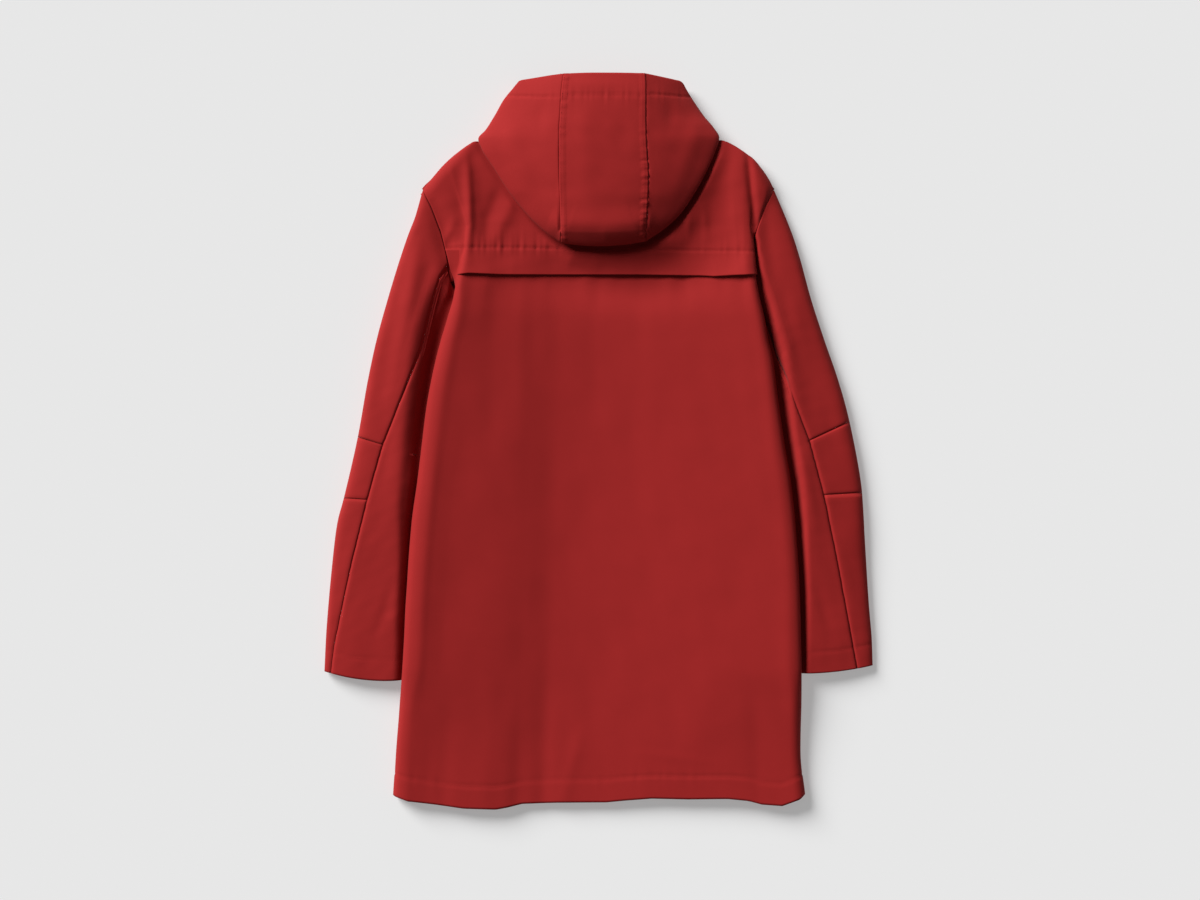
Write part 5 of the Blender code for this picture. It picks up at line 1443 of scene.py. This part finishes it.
# %% A wrapper for shader sockets
class Socket:
    """A value in a node tree. Arithmetic on it adds Math nodes."""

    def __init__(self, tree, socket):
        self.tree, self.socket = tree, socket

    def math(self, kind, *others):
        node = self.tree.nodes.new("ShaderNodeMath")
        node.operation = kind
        for slot_number, value in enumerate(others):
            put(self.tree, node.inputs[slot_number], value)
        return Socket(self.tree, node.outputs[0])

    def __add__(self, other):
        return self.math("ADD", self, other)

    def __sub__(self, other):
        return self.math("SUBTRACT", self, other)

    def __mul__(self, other):
        return self.math("MULTIPLY", self, other)

    def __rsub__(self, other):
        return self.math("SUBTRACT", other, self)

    __radd__, __rmul__ = __add__, __mul__

    def node(self, kind, settings=None, output=0, **values):
        """A node of any type: its settings first, then its sockets' values or links by name."""
        made = self.tree.nodes.new(kind)
        for name, value in (settings or {}).items():
            setattr(made, name, value)
        for name, value in values.items():
            put(self.tree, made.inputs[name.replace("_", " ")], value)
        return Socket(self.tree, made.outputs[output])


def put(tree, target, value):
    """Links a socket to another, or sets its value."""
    if isinstance(value, Socket):
        tree.links.new(value.socket, target)
    else:
        target.default_value = value


# %% The materials
CLOTH_COLOUR = (0.315, 0.0115, 0.0110, 1.0)
DEEP_COLOUR = (0.275, 0.0090, 0.0085, 1.0)


def woven(name, light, deep, grain):
    """A matt woven finish between two colours, with a bump of this strength."""
    material = bpy.data.materials.new(name)
    material.use_nodes = True
    tree = material.node_tree
    surface = tree.nodes["Principled BSDF"]
    place = tree.nodes.new("ShaderNodeTexCoord")
    at = Socket(tree, place.outputs["Object"])
    slow = at.node("ShaderNodeTexNoise", Vector=at, Scale=38.0, Detail=2.0)
    fine = at.node("ShaderNodeTexNoise", Vector=at, Scale=1500.0, Detail=2.0)
    share = slow * 0.6 + fine * 0.4
    colour = tree.nodes.new("ShaderNodeMix")
    colour.data_type = "RGBA"
    put(tree, colour.inputs["Factor"], share)
    put(tree, colour.inputs["A"], deep)
    put(tree, colour.inputs["B"], light)
    put(tree, surface.inputs["Base Color"], Socket(tree, colour.outputs["Result"]))
    bump = at.node("ShaderNodeBump", Strength=grain, Distance=0.0004, Height=fine + slow * 0.5)
    put(tree, surface.inputs["Normal"], bump)
    surface.inputs["Roughness"].default_value = 0.82
    surface.inputs["Specular IOR Level"].default_value = 0.18
    surface.inputs["Sheen Weight"].default_value = 0.06
    surface.inputs["Sheen Roughness"].default_value = 0.6
    surface.inputs["Sheen Tint"].default_value = (1.0, 0.5, 0.45, 1.0)
    return material


cloth_material = woven("shell_cloth", CLOTH_COLOUR, DEEP_COLOUR, 0.35)
thread_material = woven("thread", (0.33, 0.014, 0.013, 1.0), (0.28, 0.011, 0.010, 1.0), 0.1)
for entry in pieces.values():
    entry["object"].data.materials.append(cloth_material)
thread.data.materials.append(thread_material)
tape.data.materials.append(cloth_material)

# %% [markdown]
# ## The table, the light and the camera
#
# The camera looks straight down through a long lens, and the light comes from the upper left, so
# shadows fall to the right and below. A sun 32 degrees wide gives that direction, and an edge
# that softens with height. It would leave the shadows on the table too dark, so the table also
# gives off an even light of its own, which no real table does. A dim white world fills the
# hollows of the cloth.

# %% Stage
FLOOR, GLOW = 0.50, 0.315  # the table's grey, and the even light that it gives off
FLOOR_HALF, FLOOR_DROP = 4, 0.0004  # half its width, and how far it lies below the cloth, in metres
TO_WINDOW = (-0.63, 0.60, 0.47)  # the direction that the light comes from
SUN, SUN_WIDTH = 5.65, 32  # the lamp's strength, and its width in degrees
ROOM = 0.115  # the world's strength
CAMERA_AT, LENS, SENSOR = (0.0018, -0.0108, 5.76), 135, 36


def make_floor():
    """A plain pale table."""
    mesh = bpy.data.meshes.new("floor")
    corners = [(x * FLOOR_HALF, y * FLOOR_HALF, 0) for x, y in ((-1, -1), (1, -1), (1, 1), (-1, 1))]
    mesh.from_pydata(corners, [], [(0, 1, 2, 3)])
    floor = add_object("floor", mesh)
    floor.location.z = -FLOOR_DROP
    material = bpy.data.materials.new("table")
    material.use_nodes = True
    surface = material.node_tree.nodes["Principled BSDF"]
    surface.inputs["Base Color"].default_value = (FLOOR, FLOOR, FLOOR, 1)
    surface.inputs["Roughness"].default_value = 1.0
    surface.inputs["Specular IOR Level"].default_value = 0.0
    surface.inputs["Emission Color"].default_value = (1, 1, 1, 1)
    surface.inputs["Emission Strength"].default_value = GLOW
    mesh.materials.append(material)


def make_light():
    """One wide sun, and a dim white world."""
    lamp = bpy.data.lights.new("window", "SUN")
    lamp.energy = SUN
    lamp.angle = np.radians(SUN_WIDTH)
    sun = add_object("window", lamp)
    sun.rotation_euler = Vector(TO_WINDOW).to_track_quat("Z", "Y").to_euler()
    world = bpy.data.worlds.new("room")
    bpy.context.scene.world = world
    world.use_nodes = True
    light = world.node_tree.nodes["Background"].inputs
    light["Color"].default_value = (1, 1, 1, 1)
    light["Strength"].default_value = ROOM


def make_camera():
    """A long lens straight above the middle of the coat."""
    data = bpy.data.cameras.new("above")
    data.lens = LENS
    data.sensor_width = SENSOR
    data.clip_end = 20
    camera = add_object("above", data)
    camera.location = CAMERA_AT
    bpy.context.scene.camera = camera


make_floor()
make_light()
make_camera()
bpy.context.scene.view_settings.view_transform = "Standard"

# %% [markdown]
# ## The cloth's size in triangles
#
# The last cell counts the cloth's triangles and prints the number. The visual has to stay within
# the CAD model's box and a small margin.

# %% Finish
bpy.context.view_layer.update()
triangles = sum(len(e["object"].data.polygons) * 2 for e in pieces.values())
print("triangles of cloth:", triangles)
